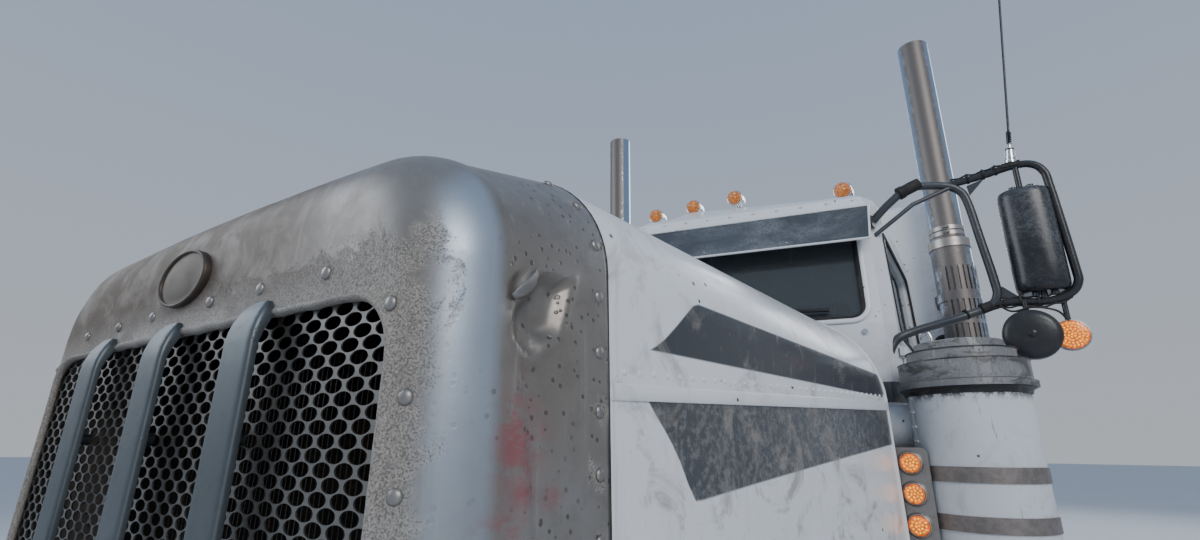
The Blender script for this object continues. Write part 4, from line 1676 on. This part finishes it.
for side in (1, -1):
    across = (0, side, 0)
    middle = (side * 1.1302, FACE + 4.35, 2.46)
    framed(windows, middle, across, (0, 0, 1), 0.26, 0.15, 0.05,
           ((-0.006, -0.001), (-0.006, 0.004), (0.004, 0.008), (0.016, 0.006), (0.019, -0.001)))
    outline = [Vector(middle) + Vector((side * 0.0004, x * side, z)) for x, z in round_box(0.256, 0.146, 0.046)]
    panes_side.plate(outline, (side * 0.0012, 0, 0))
    middle = (side * 1.1302, FACE + 4.33, 1.46)
    framed(doors_trim, middle, across, (0, 0, 1), 0.36, 0.25, 0.05,
           ((-0.005, -0.001), (-0.004, 0.0035), (0.004, 0.0035), (0.006, -0.001)))
    for far in (-0.22, 0.22):
        doors_trim.slab((side * 1.1302 - 0.001, FACE + 4.33 + far - 0.028, 1.19),
                        (side * 1.1302 + side * 0.010, FACE + 4.33 + far + 0.028, 1.225))
        doors_trim.turned(((0.0, 0.017), (0.004, 0.017), (0.009, 0.010)), (side * 1.1302, FACE + 4.33 + far, 1.66),
                          (side, 0, 0), 18)
    markers.slab((side * 1.1305, FACE + 4.28, 1.12), (side * 1.1405, FACE + 4.36, 1.15))
vents = Shape()
for k in range(7):
    vents.slab((-0.17, FACE + 4.40 + 0.035 * k, 3.020), (0.17, FACE + 4.42 + 0.035 * k, 3.0395))
hole = Shape()
hole.turned(((0.0, 0.058), (0.004, 0.060), (0.010, 0.052), (0.011, 0.040), (0.004, 0.036), (0.002, 0.004)),
            (1.035, y0, 2.095), (0, -1, 0), 30)
hole.tube(curve_points([(1.035, y0 + 0.0, 2.095), (1.035, y0 - 0.06, 2.09), (1.03, y0 - 0.10, 2.02),
                        (1.02, y0 - 0.105, 1.80),
                        (1.02, y0 - 0.09, 1.50), (1.02, y0 - 0.05, 1.20), (1.0, y0 - 0.03, 1.02)], 8), 0.018, 12)
piece("sleeper_seams", seams, "root", plain_white, "white_paint", smooth=50)
piece("sleeper_window_rubber", windows, "root", trim_rubber, "black_rubber", smooth=50)
side_pane = moulded("side_pane", (0.012, 0.014, 0.016), gloss=(0.04, 0.16), grain=40)
piece("sleeper_windows", panes_side, "root", side_pane, "window_glass", smooth=30)
piece("luggage_doors", doors_trim, "root", lamp_chrome, "bright_metal", smooth=35)
piece("marker_lamps", markers, "root", amber_dim, "amber_lens", bevel=0.003)
piece("roof_vent", vents, "root", frame_paint, "chassis_paint", bevel=0.002)
piece("front_grommet", hole, "root", trim_rubber, "black_rubber", smooth=50)
print("sleeper trim ready")
# %% [markdown]
# ## Tyres
# The CAD tyres are plain rings. A real steer tyre has straight ribs with grooves between them, and a
# drive tyre has rows of blocks. The casing is a turned profile with its sidewall, bead and grooves. The
# blocks are one small box set round the tyre hundreds of times by a Geometry Nodes tree, each turned by
# an angle stored on its point, so that it stands out from the axle.

# %% Tyre casings and tread blocks
def block_tree():
    tree = Tree("tread_blocks", {"Wide": 0.036, "Long": 0.043, "High": 0.021})
    size = tree.add("ShaderNodeCombineXYZ", {"X": tree.given["Wide"], "Y": tree.given["Long"],
                                             "Z": tree.given["High"]})
    box = tree.add("GeometryNodeMeshCube", {"Size": size}, "Mesh")
    aim = tree.add("GeometryNodeInputNamedAttribute", {"Name": "aim"}, data_type="FLOAT_VECTOR")
    return tree.closed(tree.add("GeometryNodeInstanceOnPoints", {
        "Points": tree.given["Geometry"], "Instance": box, "Rotation": aim}))


blocks = block_tree()
outer_side = [(0.1105, 0.5105), (0.119, 0.5050), (0.128, 0.4920), (0.1340, 0.4700), (0.1375, 0.4500),
              (0.1392, 0.4480),
              (0.1392, 0.4420), (0.1380, 0.4400), (0.1390, 0.4050), (0.1360, 0.3600), (0.1375, 0.3560),
              (0.1375, 0.3500),
              (0.1330, 0.3450), (0.1240, 0.3150), (0.1180, 0.3035), (0.1135, 0.3025), (0.1060, 0.2925)]
drive_crown = [(0.0, 0.5060), (0.10, 0.5060)]
steer_crown = [(0.0, 0.5250), (0.0205, 0.5250), (0.0215, 0.5110), (0.0275, 0.5110), (0.0285, 0.5248),
               (0.0615, 0.5240),
               (0.0625, 0.5110), (0.0685, 0.5110), (0.0695, 0.5238), (0.1020, 0.5195), (0.1080, 0.5165)]


def casing(shape, centre, crown):
    half = crown + outer_side
    rows = [(-far, wide) for far, wide in half[::-1]] + half[1:]
    rows = [(-0.106, 0.2925)] + rows + [(0.106, 0.2925)]
    axis_rows = []
    for far, wide in rows:
        axis_rows.append([Vector(centre) + Vector((far, wide * math.cos(a), wide * math.sin(a)))
                          for a in (math.tau * k / 72 for k in range(72))])
    shape.grid(axis_rows + [axis_rows[0]], closed=True)


tyre_sets = []
for side, word in ((1, "left"), (-1, "right")):
    tyre_sets.append(("tyre_front_" + word, "front_wheel_" + word, (side * 1.04,), STEER_AXLE, True))
    tyre_sets.append(("tyres_forward_" + word, "drive_wheels_forward_" + word, (side * 0.74, side * 1.08),
                      FORWARD_AXLE, False))
    tyre_sets.append(("tyres_rear_" + word, "drive_wheels_rear_" + word, (side * 0.74, side * 1.08), REAR_AXLE,
                      False))
total = 0
for node, body, centres, axle_y, steer in tyre_sets:
    shape = Shape()
    for x in centres:
        casing(shape, (x, axle_y, 0.525), steer_crown if steer else drive_crown)
    made = piece(node + "_casing", shape, body, tyre_rubber, "tyre_rubber", smooth=28)
    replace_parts(made, node)
    points, turns = [], []
    for x in centres:
        rows = ((-0.0995, 56, 0.5), (0.0995, 56, 0.0)) if steer else \
            ((-0.0905, 46, 0.0), (-0.0455, 46, 0.5), (0.0, 46, 0.0), (0.0455, 46, 0.5), (0.0905, 46, 0.0))
        for far, count, shift in rows:
            for k in range(count):
                a = math.tau * (k + shift) / count
                wide = 0.5075 if steer else 0.5142 - 0.30 * max(abs(far) - 0.05, 0.0) * 0.35
                points.append((x + far, axle_y - wide * math.sin(a), 0.525 + wide * math.cos(a)))
                turns.append((a, 0.0, 0.0))
    sizes = {"Wide": 0.014, "Long": 0.020, "High": 0.012} if steer else {"Wide": 0.0375, "Long": 0.0500,
                                                                         "High": 0.0195}
    made = grown(node + "_tread", blocks, points, [], turns, sizes, tyre_rubber, body)
    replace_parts(made, node)
    total += len(points)
print("tread blocks:", total)

# %% [markdown]
# ## Wheels
# Ten nuts hold each disc, inside the ring of hand holes, and smaller bolts hold the hub's cap. Each
# wheel also has a valve stem. The heads come from the hexagon tree and ride on the turning bodies.

# %% Nuts, hub bolts and valves
for side, word in ((1, "left"), (-1, "right")):
    for body, axle_y, face, cap in (("front_wheel_" + word, STEER_AXLE, 1.1652, 1.2052),
                                    ("drive_wheels_forward_" + word, FORWARD_AXLE, 0.9245, 1.1752),
                                    ("drive_wheels_rear_" + word, REAR_AXLE, 0.9245, 1.1752)):
        nuts = []
        for k in range(10):
            a = math.tau * (k + 0.5) / 10
            nuts.append((Vector((side * (face + 0.008), axle_y + 0.1425 * math.cos(a),
                                 0.525 + 0.1425 * math.sin(a))), Vector((side, 0, 0))))
        rivets(body + "_nuts", nuts, body, lamp_chrome, radius=0.0165, height=0.017, hexagon=True)
        bolts = []
        for k in range(8):
            a = math.tau * k / 8
            bolts.append((Vector((side * cap, axle_y + 0.0935 * math.cos(a), 0.525 + 0.0935 * math.sin(a))),
                          Vector((side, 0, 0))))
        rivets(body + "_hub_bolts", bolts, body, band_metal, radius=0.0075, height=0.006,
               hexagon=True)
        stem = Shape()
        stem.tube([(side * (face - 0.01), axle_y + 0.235, 0.545), (side * (face + 0.02), axle_y + 0.225, 0.545),
                   (side * (face + 0.045), axle_y + 0.205, 0.545)], 0.004, 8)
        piece(body + "_valve", stem, body, trim_rubber, "black_rubber", smooth=50)
        ring = Shape()
        centre = (side * (cap + 0.001), axle_y, 0.525)
        ring.turned(((0.0, 0.0765), (0.0, 0.083), (0.005, 0.083), (0.006, 0.0765)), centre, (side, 0, 0), 32)
        piece(body + "_hub_ring", ring, body, lamp_chrome, "bright_metal", smooth=40)
print("wheel fittings ready")

# %% [markdown]
# ## Headlamps and bumper
# Each pod holds two lamps with rounded bezels. The lens is fluted like pressed glass, over a dish with a
# bulb. The bumper takes round lamps in its two holes. The plate's place stays blank.

# %% Lamps in the pods and in the bumper
bezels, lens, dishes, blinkers = Shape(), Shape(), Shape(), Shape()
for side in (1, -1):
    for x in (0.9315 - 0.0705, 0.9315 + 0.0705):
        middle = (side * x, -4.0252, 1.11)
        framed(bezels, middle, (1, 0, 0), (0, 0, 1), 0.058, 0.062, 0.016,
               ((-0.004, -0.001), (-0.003, 0.006), (0.002, 0.010), (0.007, 0.007), (0.009, -0.001)), steps=4)
        rows = []
        for i in range(41):
            u = -0.056 + 0.112 * i / 40
            rows.append([Vector((side * x + u,
                                 -4.0300 - 0.0012 * math.cos(math.pi * i) - 0.0035 * (1 - (u / 0.056) ** 2) * (1 - (w / 0.060) ** 2), 1.11 + w))
                         for w in np.linspace(-0.060, 0.060, 13)])
        lens.grid(rows)
        dishes.turned(((0.0002, 0.050), (0.0010, 0.046), (0.0006, 0.030), (0.0016, 0.014), (0.0034, 0.010),
                       (0.0036, 0.004)), middle, (0, -1, 0), 28)
    blinkers.plate([Vector((side * 1.0803, -3.945 + y, 1.11 + z)) for y, z in round_box(0.055, 0.032, 0.012)],
                   (side * 0.010, 0, 0))
piece("headlamp_bezels", bezels, "hood", lamp_chrome, "bright_metal", smooth=40)
piece("headlamp_lenses", lens, "hood", lamp_glass, "window_glass", thick=0.0015, smooth=30)
piece("headlamp_dishes", dishes, "hood", mirror_glass, "bright_metal", smooth=50)
piece("side_blinkers", blinkers, "hood", amber_dim, "amber_lens", bevel=0.003)
fog, fog_lens = Shape(), Shape()
for side in (1, -1):
    at = (side * 0.62, -4.2020, 0.48)
    fog.turned(((-0.055, 0.020), (-0.050, 0.034), (-0.030, 0.0415), (-0.004, 0.0440), (0.004, 0.0440),
                (0.0055, 0.0415), (0.004, 0.0385), (0.0, 0.0380)), at, (0, -1, 0), 36)
    fog_lens.turned(((0.0, 0.0382), (0.003, 0.0360), (0.0055, 0.0270), (0.0070, 0.0120), (0.0074, 0.003)), at,
                    (0, -1, 0), 36)
piece("bumper_lamp_shells", fog, "root", lamp_chrome, "bright_metal", smooth=50)
piece("bumper_lamp_lenses", fog_lens, "root", lamp_glass, "window_glass", smooth=50)
print("front lamps ready")

# %% [markdown]
# ## Tanks, steps and tool boxes
# The tanks get straps with rubber under them, tee bolts, filler caps and rolled end rings. The step
# boxes get a raised-dot tread and doors with latches, the tool boxes doors with latches too.

# %% Fittings below the cab
straps, cushions, caps, doors_low, latches_low = Shape(), Shape(), Shape(), Shape(), Shape()
for side in (1, -1):
    for place in (2.39, 3.63):
        middle = (side * 0.78, FACE + place, 0.735)
        for y in (-0.034, 0.030):
            cushions.turned(((y, 0.3105), (y, 0.3170), (y + 0.004, 0.3170), (y + 0.004, 0.3105)), middle, (0, 1, 0),
                            64)
        straps.turned(((-0.009, 0.0125), (0.010, 0.0125), (0.012, 0.008)), (side * 1.083, FACE + place, 0.808),
                      (0, 0, 1), 6)
        straps.turned(((-0.060, 0.0070), (0.060, 0.0070)), (side * 1.1005, FACE + place, 0.735), (0, 0, 1), 12)
    for end in (2.075, 3.945):
        middle = (side * 0.78, FACE + end, 0.735)
        caps.turned(((-0.008, 0.296), (-0.005, 0.302), (0.005, 0.302), (0.008, 0.296)), middle, (0, 1, 0), 64)
    out = Vector((side * 0.52, 0, 0.855)).normalized()
    neck = Vector((side * 0.78, FACE + 2.22, 0.735)) + out * 0.300
    caps.turned(((0.0, 0.062), (0.014, 0.060), (0.016, 0.052), (0.020, 0.052), (0.022, 0.058), (0.044, 0.058),
                 (0.050, 0.050), (0.052, 0.012)), neck, out, 40)
    for place, half, tall, x, mid in ((1.64, 0.30, 0.19, 1.1304, 0.665), (4.60, 0.42, 0.22, 1.1104, 0.730)):
        middle = (side * x, FACE + place, mid)
        framed(doors_low, middle, (0, side, 0), (0, 0, 1), half, tall, 0.03,
               ((-0.004, -0.001), (-0.003, 0.003), (0.003, 0.003), (0.005, -0.001)), steps=4)
        for far in ((0.0,) if place < 4 else (-0.25, 0.25)):
            latches_low.slab((side * x - 0.001, FACE + place + far - 0.045, mid + tall - 0.075),
                             (side * x + side * 0.010, FACE + place + far + 0.045, mid + tall - 0.025))
            latches_low.turned(((0.008, 0.016), (0.016, 0.016), (0.018, 0.010)),
                               (side * x, FACE + place + far, mid + tall - 0.050), (side, 0, 0), 18)
step_dots = []
for x in np.arange(1.090, 1.156, 0.0165):
    for place in np.arange(1.345, 1.945, 0.0165):
        step_dots.append((Vector((x, FACE + place, 0.670)), Vector((0, 0, 1))))
for x in np.arange(0.95, 1.121, 0.019):
    for place in np.arange(1.33, 1.96, 0.019):
        step_dots.append((Vector((x, FACE + place, 0.900)), Vector((0, 0, 1))))
step_dots += other_side(step_dots)
piece("strap_bolts", straps, "root", lamp_chrome, "bright_metal", smooth=40)
piece("strap_rubbers", cushions, "root", trim_rubber, "black_rubber", smooth=40)
piece("tank_caps_and_rings", caps, "root", bright_alloy, "bare_aluminium", smooth=45)
piece("box_door_frames", doors_low, "root", bright_alloy, "bare_aluminium", smooth=40)
piece("box_latches", latches_low, "root", lamp_chrome, "bright_metal", bevel=0.003)
rivets("step_tread", step_dots, "root", bright_alloy, radius=0.0052, height=0.0024)
print("step dots:", len(step_dots))

# %% [markdown]
# ## Chassis fittings
# Bolts run along the rails wherever something is fixed to them. Behind the tool boxes hang two air
# tanks. Each drive axle has brake chambers, dampers and ribbed air bags, the front springs have U-bolts
# and clips, and the coupling plate has grease grooves and its release handle.

# %% Rails, tanks, bags, dampers and brake chambers
rail_bolts = []
for side in (1, -1):
    for place in (0.13, 0.50, 1.10, 1.40, 1.90, 2.5, 3.05, 3.35, 4.5, 5.2, 5.45, 5.70, 6.20, 6.85, 7.05, 7.55, 8.00):
        for dy in (-0.03, 0.03):
            for z in (0.765, 0.835, 0.905):
                rail_bolts.append((Vector((side * 0.4302, FACE + place + dy, z)), Vector((side, 0, 0))))
rivets("rail_bolts", rail_bolts, "root", cast_metal, radius=0.0095, height=0.006, hexagon=True)
air_tanks, tank_stays, bellows, dampers, chambers, ubolts = Shape(), Shape(), Shape(), Shape(), Shape(), Shape()
for side in (1, -1):
    air_tanks.turned(((-0.235, 0.004), (-0.232, 0.040), (-0.220, 0.080), (-0.195, 0.102), (-0.175, 0.106),
                      (0.175, 0.106),
                      (0.195, 0.102), (0.220, 0.080), (0.232, 0.040), (0.235, 0.004)),
                      (side * 0.555, FACE + 5.365, 0.800), (0, 1, 0), 40)
    for y in (-0.12, 0.12):
        tank_stays.turned(((y - 0.012, 0.1062), (y - 0.012, 0.1100), (y + 0.012, 0.1100), (y + 0.012, 0.1062)),
                          (side * 0.555, FACE + 5.365, 0.800), (0, 1, 0), 40)
        tank_stays.slab((side * 0.4303, FACE + 5.365 + y - 0.012, 0.76), (side * 0.462, FACE + 5.365 + y + 0.012,
                                                                          0.86))
    for axle_y in (FORWARD_AXLE, REAR_AXLE):
        bag = (side * 0.386, axle_y + 0.33, 0.0)
        for z in (0.478, 0.518, 0.558, 0.598, 0.638):
            bellows.turned(((z - 0.017, 0.1182), (z - 0.011, 0.1255), (z, 0.1285), (z + 0.011, 0.1255),
                            (z + 0.017, 0.1182)), bag, (0, 0, 1), 36)
        dampers.tube([(side * 0.500, axle_y - 0.115, 0.500), (side * 0.500, axle_y - 0.255, 0.740)], 0.020, 14)
        dampers.tube([(side * 0.500, axle_y - 0.190, 0.628), (side * 0.500, axle_y - 0.300, 0.816)], 0.029, 16)
        dampers.tube([(side * 0.430, axle_y - 0.300, 0.816), (side * 0.520, axle_y - 0.300, 0.816)], 0.014, 12)
        dampers.tube([(side * 0.430, axle_y - 0.100, 0.490), (side * 0.520, axle_y - 0.115, 0.500)], 0.014, 12)
        chambers.turned(((-0.080, 0.030), (-0.074, 0.062), (-0.050, 0.074), (-0.008, 0.076), (-0.006, 0.084),
                         (0.006, 0.084),
                         (0.008, 0.076), (0.050, 0.070), (0.078, 0.050), (0.082, 0.015)),
                         (side * 0.300, axle_y - 0.215, 0.560), (0, 1, 0), 32)
        chambers.tube([(side * 0.300, axle_y - 0.140, 0.560), (side * 0.300, axle_y - 0.070, 0.545)], 0.010, 10)
    for y in (-3.505, -3.355):
        ubolts.tube([(side * 0.362, y, 0.40), (side * 0.362, y, 0.665)], 0.0085, 8)
        ubolts.tube([(side * 0.428, y, 0.40), (side * 0.428, y, 0.665)], 0.0085, 8)
piece("air_tanks", air_tanks, "root", frame_paint, "chassis_paint", smooth=40)
piece("air_tank_stays", tank_stays, "root", cast_metal, "cast_steel", smooth=40)
piece("air_bag_ribs", bellows, "root", trim_rubber, "black_rubber", smooth=60)
piece("dampers", dampers, "root", frame_paint, "chassis_paint", smooth=45)
piece("brake_chambers", chambers, "root", cast_metal, "cast_steel", smooth=40)
piece("spring_u_bolts", ubolts, "root", cast_metal, "cast_steel", smooth=45)
handle = Shape()
handle.tube(curve_points([(0.30, 2.560, 1.135), (0.44, 2.560, 1.130), (0.54, 2.555, 1.125), (0.575, 2.545, 1.120),
                          (0.585, 2.520, 1.120)], 5), 0.008, 8)
handle.tube([(0.575, 2.545, 1.120), (0.60, 2.575, 1.120), (0.605, 2.60, 1.120), (0.585, 2.60, 1.120)], 0.006, 8)
piece("coupling_handle", handle, "coupling_plate", cast_metal, "cast_steel", smooth=50)
grooves = []
for side in (1, -1):
    for k in range(9):
        grooves.append((Vector((side * (0.12 + 0.035 * k), 2.50 + 0.012 * k, 1.2052)), Vector((0, 0, 1))))
rivets("grease_points", grooves, "coupling_plate", grease_black, radius=0.009, height=0.0014)
print("chassis fittings ready, rail bolts", len(rail_bolts))

# %% [markdown]
# ## Tail lamps, flap weights and line holders
# Nothing of the rear shows in the photograph, so it is finished as such tractors usually are: a lamp
# panel between the flap arms, a weight along each flap's foot and a panel for the air lines.

# %% Finish the rear
panel, red, flap_weights, holders = Shape(), Shape(), Shape(), Shape()
panel.slab((-0.36, 4.184, 0.775), (0.36, 4.190, 0.935))
for x in (-0.28, -0.14, 0.14, 0.28):
    panel.turned(((0.0, 0.0600), (0.006, 0.0590), (0.008, 0.0540), (0.006, 0.0515)), (x, 4.190, 0.855), (0, 1, 0), 32)
    red.turned(((0.0, 0.0515), (0.010, 0.0500), (0.014, 0.0440), (0.016, 0.0200), (0.0165, 0.003)),
               (x, 4.190, 0.855), (0, 1, 0), 32)
for side in (1, -1):
    flap_weights.slab((side * 0.9175 - 0.285, 4.1955, 0.285), (side * 0.9175 + 0.285, 4.1995, 0.335))
    for k in range(5):
        x = side * 0.9175 + 0.125 * (k - 2)
        flap_weights.turned(((0.0, 0.013), (0.003, 0.013), (0.005, 0.008)), (x, 4.1955, 0.895), (0, -1, 0), 12)
    red.slab((side * 1.08 - 0.04, 4.2005, 0.905), (side * 1.08 + 0.04, 4.2075, 0.935))
panel.slab((-0.20, 1.2005, 1.36), (0.20, 1.2060, 1.56))
for x in (-0.12, 0.0, 0.12):
    holders.turned(((0.0, 0.036), (0.010, 0.034), (0.014, 0.022), (0.050, 0.020), (0.055, 0.026), (0.068, 0.026),
                    (0.070, 0.016)),
                   (x, 1.2060, 1.46), (0, 1, 0), 24)
piece("tail_lamp_panel", panel, "root", frame_paint, "chassis_paint", smooth=40)
piece("tail_lamps", red, "root", red_lens, "amber_lens", smooth=40)
piece("flap_weights", flap_weights, "root", bright_alloy, "bare_aluminium", bevel=0.002)
piece("line_holders", holders, "root", cast_metal, "cast_steel", smooth=40)
print("rear ready")

# %% [markdown]
# ## Radiator and dashboard
# Seen through the screen, the radiator is a dark wall of thin fins. Seen through the glass, the
# dashboard shows round gauges with bright rims and a steering wheel with its rim and spokes.

# %% Fins, gauges and switches
fins = Shape()
for x in np.arange(-0.505, 0.506, 0.0155):
    fins.slab((x - 0.0012, FACE + 0.168, 1.02), (x + 0.0012, FACE + 0.1803, 1.75))
piece("radiator_fins", fins, "root", grease_black, "cast_steel")
gauges, dials = Shape(), Shape()
for row, z in ((0, 1.735), (1, 1.655)):
    for k in range(5):
        x = 0.16 + 0.115 * k
        y = FACE + 2.0765 - 0.094 * (1.80 - z)
        wide = 0.046 if k in (1, 3) and row == 0 else 0.030
        gauges.turned(((-0.004, wide), (0.004, wide), (0.006, wide - 0.004), (0.001, wide - 0.006)), (x, y, z),
                      (0, 1, -0.09), 28)
        dials.turned(((0.0, wide - 0.006), (0.0018, wide - 0.007), (0.0022, 0.002)), (x, y, z), (0, 1, -0.09), 28)
for k in range(9):
    dials.slab((-0.34 + 0.055 * k, FACE + 2.060, 1.640), (-0.315 + 0.055 * k, FACE + 2.074, 1.668))
piece("gauge_rims", gauges, "root", lamp_chrome, "bright_metal", smooth=50)
piece("gauge_faces", dials, "root", side_pane, "dark_plastic", smooth=40)
print("radiator and dashboard ready")

# %% [markdown]
# ## Padded seats
# A seat cushion is a crowned closed form: tight over its foam, pulled in along its seams, flat where it
# rests on the base. Simulated cloth gives that. Each pad starts as a smaller rounded box, is remeshed,
# and is blown up under a cap on how far any point may move. The channels are sewn in afterwards, by
# pressing lines into the swollen surface.

# %% Swell a pad, then sew it
def pad_mesh(half, corner, shrink):
    """A rounded box as a closed grid, centred at zero."""
    hx, hy, hz = (h - shrink for h in half)
    work = bmesh.new()
    bmesh.ops.create_cube(work, size=2.0)
    bmesh.ops.subdivide_edges(work, edges=work.edges, cuts=11, use_grid_fill=True)
    for v in work.verts:
        p = Vector((v.co.x * hx, v.co.y * hy, v.co.z * hz))
        inner = Vector((max(-hx + corner, min(hx - corner, p.x)), max(-hy + corner, min(hy - corner, p.y)),
                        max(-hz + corner, min(hz - corner, p.z))))
        away = p - inner
        v.co = inner + away.normalized() * corner if away.length > 1e-6 else p
    mesh = bpy.data.meshes.new("pad")
    work.to_mesh(mesh)
    work.free()
    return mesh


def swollen(name, half, corner=0.035, shrink=0.012, cap=0.024, voxel=0.0075):
    """A padded form from cloth simulation, still centred at zero."""
    host = bpy.data.objects.new(name + "_pad", pad_mesh(half, corner, shrink))
    bpy.context.scene.collection.objects.link(host)
    start = host.data
    fine = host.modifiers.new("even", "REMESH")
    fine.mode = "VOXEL"
    fine.voxel_size = voxel
    start = bpy.data.meshes.new_from_object(host.evaluated_get(bpy.context.evaluated_depsgraph_get()))
    host.modifiers.clear()
    host.data = start
    rest = [v.co.copy() for v in start.vertices]
    cloth = host.modifiers.new("swell", "CLOTH")
    cloth.settings.use_pressure = True
    cloth.settings.uniform_pressure_force = 4.0
    cloth.settings.effector_weights.gravity = 0.0
    cloth.settings.quality = 4
    cloth.point_cache.frame_start, cloth.point_cache.frame_end = 1, 20
    for frame in range(1, 21):
        bpy.context.scene.frame_set(frame)
    grown_mesh = bpy.data.meshes.new_from_object(host.evaluated_get(bpy.context.evaluated_depsgraph_get()))
    host.modifiers.clear()
    bpy.context.scene.frame_set(1)
    far = 0.0
    for vertex, old in zip(grown_mesh.vertices, rest):
        move = vertex.co - old
        if move.length > cap:
            vertex.co = old + move * (cap / move.length)
        far = max(far, (vertex.co - old).length)
    print(name, "swelled by up to %.1f mm over %d points" % (1000 * far, len(rest)))
    start = grown_mesh
    bpy.data.objects.remove(host)
    return start


def fitted(mesh, half):
    """Keeps a pad inside the half sizes of the solid that it stands for."""
    size = [max(abs(v.co[i]) for v in mesh.vertices) for i in range(3)]
    for v in mesh.vertices:
        v.co = Vector([v.co[i] * min(1.0, half[i] / size[i]) for i in range(3)])


def sewn(mesh, across, lines, face, depth=0.011, wide=0.012):
    """Presses channels into the face that looks along +face, at places across."""
    for v in mesh.vertices:
        if v.co[face] < 0.1 * abs(v.co[face]) + 0.01:
            continue
        press = 0.0
        for line in lines:
            press = max(press, math.exp(-(((v.co[across] - line) / wide) ** 2)))
        v.co[face] -= depth * press


seat_pads = {"cushion": ((0.255, 0.260, 0.070), Vector((0, FACE + 2.59, 1.550)), 0.0),
             "back": ((0.250, 0.060, 0.360), Vector((0, FACE + 2.83, 1.950)), -8.0)}
channels = (-0.15, -0.075, 0.0, 0.075, 0.15)
for name, (half, middle, turn) in seat_pads.items():
    form = swollen("seat_" + name, half)
    fitted(form, half)
    if name == "cushion":
        sewn(form, 0, channels, 2)
    else:
        for v in form.vertices:
            v.co.y = -v.co.y
        sewn(form, 0, channels, 1)
        for v in form.vertices:
            v.co.y = -v.co.y
    spun = Matrix.Rotation(math.radians(turn), 3, "X")
    for x, word in ((0.43, "driver"), (-0.43, "passenger")):
        mesh = form.copy()
        mesh.name = "seat_%s_%s" % (name, word)
        for v in mesh.vertices:
            v.co = spun @ v.co + middle + Vector((x, 0, 0))
        work = bmesh.new()
        work.from_mesh(mesh)
        bmesh.ops.remove_doubles(work, verts=work.verts, dist=1e-5)
        bmesh.ops.recalc_face_normals(work, faces=work.faces)
        work.to_mesh(mesh)
        work.free()
        mesh.materials.clear()
        mesh.materials.append(seat_leather)
        mesh.shade_smooth()
        pad = bpy.data.objects.new(mesh.name, mesh)
        bpy.context.scene.collection.objects.link(pad)
        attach(pad, "root")
        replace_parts(pad, "cab_seats")
seat_bases = Shape()
for x in (0.43, -0.43):
    seat_bases.slab((x - 0.18, FACE + 2.42, 1.1554), (x + 0.18, FACE + 2.74, 1.480))
    for k in range(6):
        seat_bases.slab((x - 0.185, FACE + 2.415, 1.20 + 0.042 * k), (x + 0.185, FACE + 2.745, 1.222 + 0.042 * k))
base_piece = piece("seat_bases", seat_bases, "root", cabin_plastic, "dark_plastic", bevel=0.006)
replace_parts(base_piece, "cab_seats")
print("seats ready")
